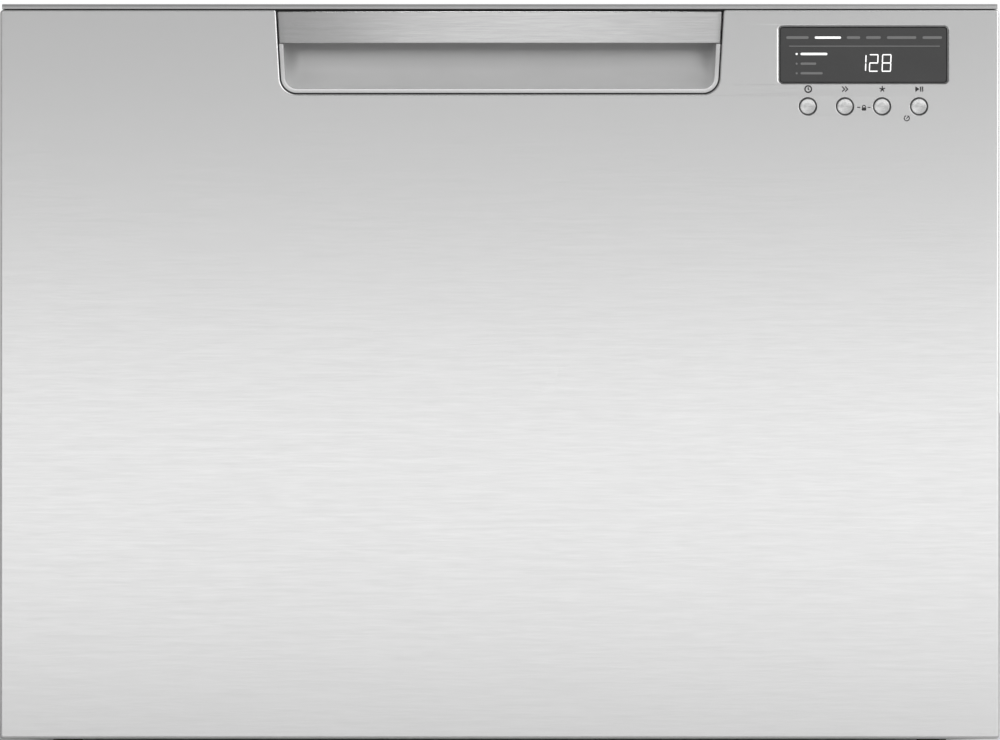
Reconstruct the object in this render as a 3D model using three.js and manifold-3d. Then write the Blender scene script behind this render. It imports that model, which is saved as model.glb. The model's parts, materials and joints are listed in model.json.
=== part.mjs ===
// A built-under dishwasher with one pull-out wash drawer, 599 mm wide.
//
// Frame, in millimetres: +X to the viewer's right, +Y from the stainless front to the
// rear connections, +Z up. The origin is under the middle of the machine, on the floor
// that the four levelling feet stand on.
//
// The machine is a sheet-steel chassis (sides, top, back, leak tray, feet, runners, lid
// lift) and a drawer (stainless front, recessed handle, display and buttons, wash tub,
// pump, filter, spray arm and rack) that slides out of it on three-part runners.

import * as THREE from "three";
import { mergeVertices } from "three/addons/utils/BufferGeometryUtils.js";
import Module from "manifold-3d";

const wasm = await Module();
wasm.setup();

// ---------------------------------------------------------------- driving dimensions
const WIDTH = 599; // drawer front, side to side
const HEIGHT = 454; // floor to the top of the drawer front
const DEPTH = 573; // drawer front to the ends of the rear connections
const XF = WIDTH / 2; // 299.5
const YF = -DEPTH / 2; // front face
const YR = DEPTH / 2; // ends of the rear connections
const TRAVEL = 480; // full run of the drawer

// drawer front
const FRONT_Z0 = 13.4; // lower edge of the stainless skin
const SKIN_TOP = 450.0; // upper edge of the stainless skin
const CAP_Z0 = 451.0; // trim strip along the top, 3 mm high
const SKIN_T = 1.0;
const SKIN_R = 1.8; // bend radius round the skin's face
const SKIN_RETURN = 24; // depth of the folded edges
const CARRIER_Y = [-260.0, -257.0]; // moulded plate that closes the back of the front

// recess for the hand
const NOTCH_TOP = 133.6; // half width at the top of the skin
const NOTCH_BOT = 131.3; // half width where the corner starts
const NOTCH_Z = 400.0; // bottom of the recess
const NOTCH_R = 10;
const BAR_Z = [430.6, 449.8];
const BAR_T = 3.0;
const BAR_BOW = 0.9;

// display and buttons
const DISP_X = 218.0;
const DISP_Z = 423.5;
const LENS_W = 99.6;
const LENS_H = 32.6;
const BUTTON_X = [184.7, 206.9, 229.1, 251.3];
const BUTTON_Z = 392.6;
const BUTTON_R = 4.8;
const BUTTON_HOLE_R = 5.6;

// tub
const TUB_X = 262; // outer half width of the walls
const TUB_Y = [-248, 225];
const TUB_Z = [62, 402]; // underside of the floor, top of the rim
const TUB_T = 3.5;
const RIM = 8; // rim flange, outwards
const SUMP_R = 68;
const SUMP_Z = 51; // inner bottom of the sump

// chassis
const CH_X = 296;
const CH_Y = [-254, 270];
const CH_Z = [14, 453];
const CH_T = 1.2;

// runners
const RUN_Z = 330; // centre height
const RUN_Y = [-250, 230];

// rack hinges
const TINE_Z = 135.4;
const SHELF_Z = 242;

// lid and its lift
const LID_DROP = 12; // travel from parked to sealed
const LEVER_L = 24;
const LEVER_A = Math.asin(LID_DROP / 2 / LEVER_L); // 14.48 degrees each side of level
const LID_PIN_Z = 430;
const LID_PIN_Y = [-185, 185];

// folding arms that carry the hoses and wires to the moving tub
const LINK_L = 480;
const LINK_X = -240;
const LINK_Y = 252;

// ---------------------------------------------------------------- materials
const std = (color, roughness, metalness) =>
  new THREE.MeshStandardMaterial({ color, roughness, metalness });
const M = {
  stainless: std(0xc9c9ca, 0.32, 1),
  handle: std(0xcfcfd0, 0.28, 1),
  trim: std(0x9fa1a3, 0.35, 0.6),
  scoop: std(0xb4b5b6, 0.45, 0.2),
  lens: std(0x47484a, 0.18, 0),
  button: std(0xd2d2d3, 0.25, 1),
  darkPlastic: std(0x2b2c2e, 0.55, 0),
  felt: std(0x3a3a3b, 0.95, 0),
  carrier: std(0x8d9093, 0.55, 0),
  tub: std(0xc6cacd, 0.42, 0),
  lid: std(0xd6d9db, 0.45, 0),
  seal: std(0x6a6d70, 0.75, 0),
  galvanised: std(0xa9adb0, 0.45, 0.9),
  runner: std(0xb9bcbf, 0.3, 1),
  rack: std(0x8f959b, 0.35, 0),
  basket: std(0x6f767d, 0.5, 0),
  filter: std(0x5d646b, 0.5, 0),
  sprayArm: std(0x7d848b, 0.45, 0),
  motor: std(0x3c3f43, 0.4, 0.5),
  brass: std(0xb59a55, 0.35, 1),
  element: std(0x8a8b8c, 0.3, 1),
  white: std(0xdfe1e2, 0.5, 0),
  zinc: std(0xb5b8bb, 0.4, 1),
};

// ---------------------------------------------------------------- solids
// A closed mesh as a solid that can be joined and cut.
function solid(geometry) {
  const g = geometry.clone();
  g.deleteAttribute("normal");
  g.deleteAttribute("uv");
  const merged = mergeVertices(g, 1e-4);
  const p = merged.attributes.position.array;
  const idx = merged.index.array;
  const tri = [];
  let volume = 0;
  for (let i = 0; i < idx.length; i += 3) {
    const [a, b, c] = [idx[i], idx[i + 1], idx[i + 2]];
    if (a === b || b === c || a === c) continue;
    tri.push(a, b, c);
    const [ax, ay, az] = [p[3 * a], p[3 * a + 1], p[3 * a + 2]];
    const [bx, by, bz] = [p[3 * b], p[3 * b + 1], p[3 * b + 2]];
    const [cx, cy, cz] = [p[3 * c], p[3 * c + 1], p[3 * c + 2]];
    volume +=
      ax * (by * cz - bz * cy) - ay * (bx * cz - bz * cx) + az * (bx * cy - by * cx);
  }
  if (volume < 0)
    for (let i = 0; i < tri.length; i += 3) [tri[i + 1], tri[i + 2]] = [tri[i + 2], tri[i + 1]];
  return new wasm.Manifold(
    new wasm.Mesh({
      numProp: 3,
      vertProperties: new Float32Array(p),
      triVerts: new Uint32Array(tri),
    }),
  );
}

function geometryOf(s) {
  const m = s.getMesh();
  const v = new Float32Array(m.numVert * 3);
  for (let i = 0; i < m.numVert; i++)
    v.set(m.vertProperties.subarray(i * m.numProp, i * m.numProp + 3), i * 3);
  const g = new THREE.BufferGeometry();
  g.setAttribute("position", new THREE.BufferAttribute(v, 3));
  g.setIndex(new THREE.BufferAttribute(new Uint32Array(m.triVerts), 1));
  g.computeVertexNormals();
  return g;
}

const join = (...s) => s.flat().reduce((a, b) => a.add(b));
const cut = (a, ...s) => s.flat().reduce((x, y) => x.subtract(y), a);

// A block between two corners.
function block(x0, x1, y0, y1, z0, z1) {
  const [xa, xb] = [Math.min(x0, x1), Math.max(x0, x1)];
  const g = new THREE.BoxGeometry(xb - xa, y1 - y0, z1 - z0);
  g.translate((xa + xb) / 2, (y0 + y1) / 2, (z0 + z1) / 2);
  return solid(g);
}

// A cylinder or cone frustum along an axis, from one coordinate to another.
function rod(axis, c, r, from, to, n = 24, r2 = r) {
  const g = new THREE.CylinderGeometry(r2, r, Math.abs(to - from), n);
  if (to < from) g.rotateX(Math.PI);
  const mid = (from + to) / 2;
  if (axis === "Z") {
    g.rotateX(Math.PI / 2);
    g.translate(c[0], c[1], mid);
  } else if (axis === "X") {
    g.rotateZ(-Math.PI / 2);
    g.translate(mid, c[0], c[1]);
  } else g.translate(c[0], mid, c[1]);
  return solid(g);
}

// An outline pushed straight along the third axis.
function prism(points, plane, from, to, bevel = null) {
  const shape = new THREE.Shape(points.map(([a, b]) => new THREE.Vector2(a, b)));
  const g = new THREE.ExtrudeGeometry(shape, {
    depth: to - from - (bevel ? 2 * bevel.t : 0),
    bevelEnabled: !!bevel,
    ...(bevel
      ? { bevelThickness: bevel.t, bevelSize: bevel.s, bevelOffset: -bevel.s, bevelSegments: bevel.n }
      : {}),
  });
  if (bevel) g.translate(0, 0, bevel.t);
  const m = new THREE.Matrix4();
  const X = new THREE.Vector3(1, 0, 0);
  const Y = new THREE.Vector3(0, 1, 0);
  const Z = new THREE.Vector3(0, 0, 1);
  if (plane === "XY") m.makeBasis(X, Y, Z).setPosition(0, 0, from);
  else if (plane === "YZ") m.makeBasis(Y, Z, X).setPosition(from, 0, 0);
  else m.makeBasis(X, Z, Y.clone().negate()).setPosition(0, to, 0);
  g.applyMatrix4(m);
  return solid(g);
}

// A turned piece: the profile is [radius, height] and starts and ends on the axis, or
// closes on itself.
function turned(profile, n, axis = "Z") {
  const g = new THREE.LatheGeometry(
    profile.map(([r, h]) => new THREE.Vector2(r, h)),
    n,
  );
  if (axis === "Z") g.rotateX(Math.PI / 2);
  return solid(g);
}

function roundedRect(x0, x1, y0, y1, r, n = 4) {
  const pts = [];
  const corners = [
    [x1 - r, y1 - r, 0],
    [x0 + r, y1 - r, 90],
    [x0 + r, y0 + r, 180],
    [x1 - r, y0 + r, 270],
  ];
  for (const [cx, cy, a0] of corners)
    for (let i = 0; i <= n; i++) {
      const a = ((a0 + (90 * i) / n) * Math.PI) / 180;
      pts.push([cx + r * Math.cos(a), cy + r * Math.sin(a)]);
    }
  return pts;
}

function circle(cx, cy, r, n) {
  return Array.from({ length: n }, (_, i) => [
    cx + r * Math.cos((2 * Math.PI * i) / n),
    cy + r * Math.sin((2 * Math.PI * i) / n),
  ]);
}

// The outline of the hand recess, shrunk by e, up to height top.
function recess(e, top, n = 8) {
  const r = Math.max(NOTCH_R - e, 1);
  const z0 = NOTCH_Z + e;
  const slope = (NOTCH_TOP - NOTCH_BOT) / (SKIN_TOP - (NOTCH_Z + NOTCH_R));
  const at = (z) => NOTCH_BOT - e + slope * (z - (NOTCH_Z + NOTCH_R));
  const xc = at(z0 + r) - r;
  const right = [];
  for (let i = 0; i <= n; i++) {
    const a = -Math.PI / 2 + ((Math.PI / 2) * i) / n;
    right.push([xc + r * Math.cos(a), z0 + r + r * Math.sin(a)]);
  }
  right.push([at(top), top]);
  return [...right, ...right.map(([x, z]) => [-x, z]).reverse()];
}

// ---------------------------------------------------------------- scene graph
const machine = new THREE.Group();
const chassis = new THREE.Group();
const drawer = new THREE.Group();
const front = new THREE.Group();
const wash = new THREE.Group();
const rackGroup = new THREE.Group();
const lidGroup = new THREE.Group();
machine.add(chassis, drawer, lidGroup);
drawer.add(front, wash, rackGroup);

function add(group, name, s, material, pos = [0, 0, 0], rot = [0, 0, 0]) {
  const mesh = new THREE.Mesh(geometryOf(s), material.clone());
  mesh.name = name;
  mesh.position.set(...pos);
  mesh.rotation.set(...rot);
  group.add(mesh);
  return mesh;
}

// ================================================================ drawer front
{
  // Folded stainless skin: face, rounded bends and 24 mm returns, open behind.
  const outline = roundedRect(-XF, XF, FRONT_Z0, SKIN_TOP, 2.2, 3);
  let skin = prism(outline, "XZ", YF, YF + 60, { t: SKIN_R, s: SKIN_R, n: 3 });
  skin = cut(skin, block(-400, 400, YF + SKIN_RETURN, YF + 80, 0, 500));
  skin = cut(
    skin,
    block(-XF + SKIN_T, XF - SKIN_T, YF + SKIN_T, YF + 100, FRONT_Z0 + SKIN_T, SKIN_TOP - SKIN_T),
    prism(recess(0, 470), "XZ", YF - 10, YF + 100),
    prism(
      roundedRect(DISP_X - 50.9, DISP_X + 50.9, DISP_Z - 17.4, DISP_Z + 17.4, 2.6, 3),
      "XZ",
      YF - 10,
      YF + 10,
    ),
    BUTTON_X.map((x) => rod("Y", [x, BUTTON_Z], BUTTON_HOLE_R, YF - 10, YF + 10, 32)),
  );
  add(front, "front_panel", skin, M.stainless);

  // Trim strip that closes the top of the front, with a dark web set back under it.
  const cap = join(
    prism(
      [
        [YF + 0.3, CAP_Z0],
        [YF + 0.3, CAP_Z0 + 1.6],
        [YF + 1.3, CAP_Z0 + 2.7],
        [YF + 2.4, HEIGHT],
        [-257.2, HEIGHT],
        [-257.2, CAP_Z0],
      ],
      "YZ",
      -XF + 1.2,
      XF - 1.2,
    ),
    block(-XF + 1.6, XF - 1.6, YF + 5, YF + 7.5, SKIN_TOP + 0.2, CAP_Z0 + 0.5),
  );
  add(front, "top_trim", cap, M.trim);

  // Moulded hand recess: a shell that fills the notch, hollow behind the bar.
  let scoop = prism(recess(0.7, 449.6), "XZ", YF + 0.7, -260.4);
  const hollow = prism(recess(3.6, 447.6), "XZ", YF - 10, -262.6).intersect(
    prism(
      [
        [YF - 5, 402.0],
        [YF + 0.7, 403.2],
        [YF + 5, 404.4],
        [YF + 10.5, 407.0],
        [YF + 15.5, 411.2],
        [YF + 19.5, 417.0],
        [YF + 22.3, 424.5],
        [YF + 23.6, 433.0],
        [YF + 23.6, 442.0],
        [YF + 22.0, 446.0],
        [YF + 19.0, 447.6],
        [YF - 5, 447.6],
      ],
      "YZ",
      -200,
      200,
    ),
  );
  scoop = cut(scoop, hollow, block(-200, 200, YF - 1, YF + BAR_BOW + BAR_T + 0.4, BAR_Z[0] - 0.3, 460));
  add(front, "handle_recess", scoop, M.scoop);

  // Grip bar: a stainless strip across the top of the recess, very slightly bowed.
  const bow = [];
  const nb = 12;
  for (let i = 0; i <= nb; i++) {
    const t = -1 + (2 * i) / nb;
    bow.push([t * 136, YF + BAR_BOW * t * t]);
  }
  for (let i = nb; i >= 0; i--) {
    const t = -1 + (2 * i) / nb;
    bow.push([t * 136, YF + BAR_BOW * t * t + BAR_T]);
  }
  const bar = prism(bow, "XY", BAR_Z[0], BAR_Z[1]).intersect(
    prism(recess(1.0, 460), "XZ", YF - 5, YF + 20),
  );
  add(front, "handle_bar", bar, M.handle);

  // Housing behind the skin that carries the display and the buttons; its bezel stands
  // through the window in the skin.
  const bezelRing = cut(
    join(
      prism(
        roundedRect(DISP_X - 50.7, DISP_X + 50.7, DISP_Z - 17.2, DISP_Z + 17.2, 2.4, 3),
        "XZ",
        YF + 0.35,
        YF + 4,
      ),
      prism(
        roundedRect(DISP_X - 54, DISP_X + 54, DISP_Z - 20, DISP_Z + 20, 3, 3),
        "XZ",
        YF + 1.4,
        YF + 4.4,
      ),
    ),
    prism(
      roundedRect(DISP_X - 50.0, DISP_X + 50.0, DISP_Z - 16.5, DISP_Z + 16.5, 1.9, 3),
      "XZ",
      YF - 1,
      YF + 10,
    ),
  );
  let housing = cut(
    block(160, 276, YF + 4, -262.6, 378, 446),
    block(162, 274, YF + 3, -264.6, 380, 444),
  );
  housing = join(
    housing,
    bezelRing,
    block(160, 276, YF + 3.9, YF + 6, 400, 404),
    BUTTON_X.map((x) =>
      cut(
        rod("Y", [x, BUTTON_Z], 5.2, -275, -264, 8),
        rod("Y", [x, BUTTON_Z], 3.1, -280, -265.5, 6),
      ),
    ),
    block(DISP_X - 54, DISP_X - 46, YF + 4.2, -264, DISP_Z - 20, DISP_Z - 12),
    block(DISP_X + 46, DISP_X + 54, YF + 4.2, -264, DISP_Z - 20, DISP_Z - 12),
    block(DISP_X - 54, DISP_X - 46, YF + 4.2, -264, DISP_Z + 12, DISP_Z + 20.6),
    block(DISP_X + 46, DISP_X + 54, YF + 4.2, -264, DISP_Z + 12, DISP_Z + 20.6),
  );
  add(front, "control_module", housing, M.trim);

  add(
    front,
    "display_lens",
    prism(
      roundedRect(-LENS_W / 2, LENS_W / 2, -LENS_H / 2, LENS_H / 2, 1.6, 3),
      "XZ",
      0,
      2.2,
    ),
    M.lens,
    [DISP_X, YF + 0.9, DISP_Z],
  );

  // Four round push buttons, each with a retaining flange and a stem.
  const names = ["button_delay", "button_program", "button_option", "button_start"];
  BUTTON_X.forEach((x, i) => {
    const s = turned(
      [
        [0, 0.3],
        [4.4, 0],
        [BUTTON_R, 0.4],
        [BUTTON_R, 1.6],
        [6.6, 1.6],
        [6.6, 2.8],
        [2.5, 2.8],
        [2.5, 17.5],
        [0, 17.5],
      ],
      12,
      "Y",
    );
    add(front, names[i], s, M.button, [x, YF + 0.2, BUTTON_Z]);
  });

  // Sound-deadening felt behind the skin.
  add(
    front,
    "insulation_pad",
    cut(
      prism(roundedRect(-286, 286, 28, 372, 12, 3), "XZ", YF + 1.3, -273.4),
    ),
    M.felt,
  );

  // Moulded carrier: closes the back of the front and screws to the tub.
  let carrier = join(
    block(-298.0, 298.0, CARRIER_Y[0], CARRIER_Y[1], 16.5, 450.6),
    cut(
      block(-297.9, 297.9, -270, -259.5, 15.0, 448.4),
      block(-295.4, 295.4, -280, -250, 17.6, 460),
    ),
    // spine ribs
    block(-295.5, -140, -266, -259.5, 398, 400.5),
    block(140, 155, -266, -259.5, 398, 400.5),
    block(-120, -117.5, -266, -259.5, 20, 390),
    block(117.5, 120, -266, -259.5, 20, 390),
  );
  carrier = cut(
    carrier,
    prism(circle(190, 100, 29, 16), "XZ", -280, -250),
    Array.from({ length: 5 }, (_, i) =>
      block(150 + i * 12, 156 + i * 12, -280, -250, 24, 36),
    ),
  );
  add(front, "front_carrier", carrier, M.carrier);

  // Drying fan in the front, behind its vent.
  const fan = join(
    cut(
      prism(roundedRect(148, 232, 58, 142, 6, 2), "XZ", -273.0, -260.4),
      prism(circle(190, 100, 36.5, 20), "XZ", -280, -262.4),
      prism(circle(190, 100, 29, 16), "XZ", -280, -250),
    ),
    block(159, 221, -262.4, -260.4, 98, 102),
    block(188, 192, -262.4, -260.4, 69, 131),
    rod("Y", [190, 100], 10, -263.2, -260.4, 12),
    rod("Y", [190, 100], 1.6, -270.5, -263, 8),
  );
  add(front, "drying_fan_housing", fan, M.darkPlastic);
  const blades = [];
  for (let i = 0; i < 7; i++) {
    const g = new THREE.BoxGeometry(22.5, 8.6, 1.3);
    g.rotateX(0.62);
    g.translate(21.5, 0, 0);
    g.rotateY((2 * Math.PI * i) / 7);
    blades.push(solid(g));
  }
  const fanRotor = cut(
    join(rod("Y", [0, 0], 12, -4, 4, 14), blades),
    rod("Y", [0, 0], 2.0, -2.8, 6, 8),
  );
  add(front, "drying_fan_rotor", fanRotor, M.darkPlastic, [190, -268.0, 100]);
}

// ================================================================ wash tub and inside
{
  const [ty0, ty1] = TUB_Y;
  const [tz0, tz1] = TUB_Z;
  const inner = roundedRect(
    -TUB_X + TUB_T,
    TUB_X - TUB_T,
    ty0 + TUB_T,
    ty1 - TUB_T,
    20,
    4,
  );
  let tub = join(
    prism(roundedRect(-TUB_X, TUB_X, ty0, ty1, 23.5, 4), "XY", tz0, tz1),
    prism(
      roundedRect(-TUB_X - RIM, TUB_X + RIM, ty0 - RIM, ty1 + RIM, 34, 3),
      "XY",
      tz1 - 3,
      tz1,
    ),
    // stiffening band under the rim
    prism(
      roundedRect(-TUB_X - 3, TUB_X + 3, ty0 - 3, ty1 + 3, 26.5, 4),
      "XY",
      tz1 - 22,
      tz1 - 19,
    ),
    rod("Z", [0, 0], SUMP_R + 3, 48, tz0 + 1, 24),
    // pads that the runners' inner members screw to
    [-1, 1].flatMap((s) =>
      [-215, 140].map((y) =>
        block(s * (TUB_X - 1), s * 285.8, y, y + 60, RUN_Z - 13, RUN_Z + 13),
      ),
    ),
    // lug that carries the rear arm's pivot
    block(LINK_X - 8, LINK_X + 8, ty1 - 6, LINK_Y + 8, 117, 122),
    rod("Z", [LINK_X, LINK_Y], 3, 101, 118, 12),
    // feet of the front bulkhead
    block(-150, -90, -256.6, ty0 + 1, 90, 110),
    block(90, 150, -256.6, ty0 + 1, 170, 190),
    block(-150, -90, -256.6, ty0 + 1, 250, 270),
  );
  tub = cut(
    tub,
    prism(inner, "XY", tz0 + 4, tz1 + 10),
    rod("Z", [0, 0], SUMP_R, SUMP_Z, tz1, 24),
    rod("Z", [0, 0], 9, 40, tz1, 12),
    block(-82, 82, ty0 - 20, ty0 + 20, 300, 392),
  );
  // ledges inside that the rack stands on
  tub = join(
    tub,
    [-1, 1].flatMap((s) =>
      [-150, 110].map((y) => block(s * 240, s * (TUB_X - 1), y, y + 40, 112, 127.7)),
    ),
  );
  add(wash, "tub", tub, M.tub);

  // Wash and drain pump motor under the sump.
  const motor = cut(
    join(
      turned(
        [
          [0, 26],
          [50, 26],
          [58, 30],
          [60, 36],
          [60, 44],
          [56, 47.6],
          [0, 47.6],
        ],
        20,
      ),
      Array.from({ length: 3 }, (_, i) => {
        const a = (2 * Math.PI * i) / 3 + 0.5;
        return rod("Z", [64 * Math.cos(a), 64 * Math.sin(a)], 7, 42, 47.6, 8);
      }),
      block(-14, 14, -74, -50, 31, 45),
    ),
    rod("Z", [0, 0], 5.6, 30, 60, 12),
  );
  add(wash, "pump_motor", motor, M.motor);

  // Rotor and impeller, turning in the sump.
  const impeller = join(
    rod("Z", [0, 0], 5, -18, 8, 10),
    turned(
      [
        [0, 3],
        [45, 3],
        [45, 6],
        [14, 7],
        [11, 14],
        [0, 16],
      ],
      18,
    ),
    Array.from({ length: 6 }, (_, i) => {
      const g = new THREE.BoxGeometry(34, 1.8, 8);
      g.translate(26, 0, 8.5);
      g.rotateZ((2 * Math.PI * i) / 6);
      return solid(g);
    }),
  );
  add(wash, "pump_rotor", impeller, M.white, [0, 0, 50]);

  // Heating element: a ring in the tub floor with two terminals.
  const ring = turned(circle(185, 76, 4.2, 6).concat([[185 + 4.2, 76]]), 24);
  add(
    wash,
    "heating_element",
    join(
      ring,
      block(-30, -18, 178, 192, 66.3, 75),
      block(18, 30, 178, 192, 66.3, 75),
      block(-6, 6, -192, -178, 66.3, 75),
    ),
    M.element,
  );

  // Filter plate: covers the floor, with the spray arm's post in the middle.
  const FX = -98;
  const FY = -58;
  const slots = [];
  for (let i = 0; i < 12; i++) {
    const a = (2 * Math.PI * (i + 0.5)) / 12;
    if (Math.hypot(110 * Math.cos(a) - FX, 110 * Math.sin(a) - FY) < 75) continue;
    const g = new THREE.BoxGeometry(70, 6, 20);
    g.translate(115, 0, 86);
    g.rotateZ(a);
    slots.push(solid(g));
  }
  const plate = join(
    cut(
      prism(roundedRect(-250, 250, -236, 213, 24, 3), "XY", 84, 87),
      rod("Z", [FX, FY], 39.2, 70, 100, 20),
      slots,
    ),
    rod("Z", [0, 0], 30, 84, 91, 16, 24),
    rod("Z", [0, 0], 11.5, 85, 101, 14),
    [
      [-225, -205],
      [225, -205],
      [-225, 185],
      [225, 185],
    ].map(([x, y]) => rod("Z", [x, y], 6, 66.3, 85, 6)),
  );
  add(wash, "filter_plate", plate, M.filter);

  // Drain filter: a cup with a rim and a grip, twisted to lock.
  const cup = cut(
    join(
      turned(
        [
          [0, -17],
          [34, -17],
          [38, 3.3],
          [42, 3.3],
          [42, 5.6],
          [0, 5.6],
        ],
        18,
      ),
      block(-30, 30, -3, 3, 2, 13.5),
    ),
    cut(rod("Z", [0, 0], 33, -14, 10, 18), block(-40, 40, -3, 3, 0, 20), rod("Z", [0, 0], 40, -30, -14.5, 8)),
  );
  add(wash, "drain_filter", cup, M.basket, [FX, FY, 84]);

  // Spray arm: a hollow-looking two-bladed arm on a hub that sits on the post.
  const bladeOutline = [];
  const armPts = [
    [0, 30],
    [60, 29],
    [140, 24],
    [195, 18],
    [212, 10],
    [216, 0],
  ];
  for (const [x, y] of armPts) bladeOutline.push([x, y * 0.9]);
  for (const [x, y] of armPts.slice(0, -1).reverse()) bladeOutline.push([x, -y * 1.05]);
  const half = prism(bladeOutline, "XY", 104, 115, { t: 2.5, s: 3, n: 1 });
  const otherHalf = prism(
    bladeOutline.map(([x, y]) => [-x, -y]),
    "XY",
    104,
    115,
    { t: 2.5, s: 3, n: 1 },
  );
  const jets = [];
  for (const [d, o] of [
    [80, 8],
    [130, -6],
    [180, 3],
  ]) {
    jets.push(prism(circle(d, o, 2.6, 6), "XY", 112, 120));
    jets.push(prism(circle(-d - 10, -o, 2.6, 6), "XY", 112, 120));
  }
  let arm = join(
    half,
    otherHalf,
    turned(
      [
        [0, 92],
        [22, 92],
        [24, 100],
        [34, 105],
        [34, 114],
        [26, 118],
        [0, 119],
      ],
      16,
    ),
  );
  arm = cut(arm, rod("Z", [0, 0], 12.1, 80, 102, 14), jets);
  const armMesh = add(wash, "spray_arm", arm, M.sprayArm);
  armMesh.rotation.set(0, 0, (32 * Math.PI) / 180);

  // Detergent and rinse-aid dispenser let into the tub's front wall.
  let dispenser = join(
    prism(roundedRect(-86, 86, 297, 395, 6, 2), "XZ", -244.3, -241),
    block(-80, 80, -255.8, -244, 302, 390),
  );
  dispenser = cut(
    dispenser,
    prism(roundedRect(-70, -10, 322, 372, 6, 2), "XZ", -253, -230),
    rod("Y", [42, 347], 14.5, -252, -230, 16),
    block(-72, -8, -241.8, -230, 311, 318.6),
  );
  add(wash, "dispenser", dispenser, M.white);
  const door = join(
    prism(roundedRect(-35, 35, 2.6, 57.5, 5, 2), "XZ", 0, 3),
    rod("X", [0, 0], 2.6, -31, 31, 10),
    block(-31, 31, 0, 2.6, 0, 4),
    block(-12, 12, 2.5, 4.5, 50, 54),
  );
  add(wash, "detergent_door", door, M.white, [-40, -238.2, 316.6]);
  const rinse = join(
    turned(
      [
        [0, 0],
        [18, 0],
        [19, 1.5],
        [19, 5],
        [17.5, 6.5],
        [0, 6.5],
      ],
      16,
      "Y",
    ),
    rod("Y", [0, 0], 13.8, -8, 1, 14),
    block(-15, 15, 6, 10.5, -2.2, 2.2),
  );
  add(wash, "rinse_aid_cap", rinse, M.basket, [42, -240.7, 347]);
}

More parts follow.
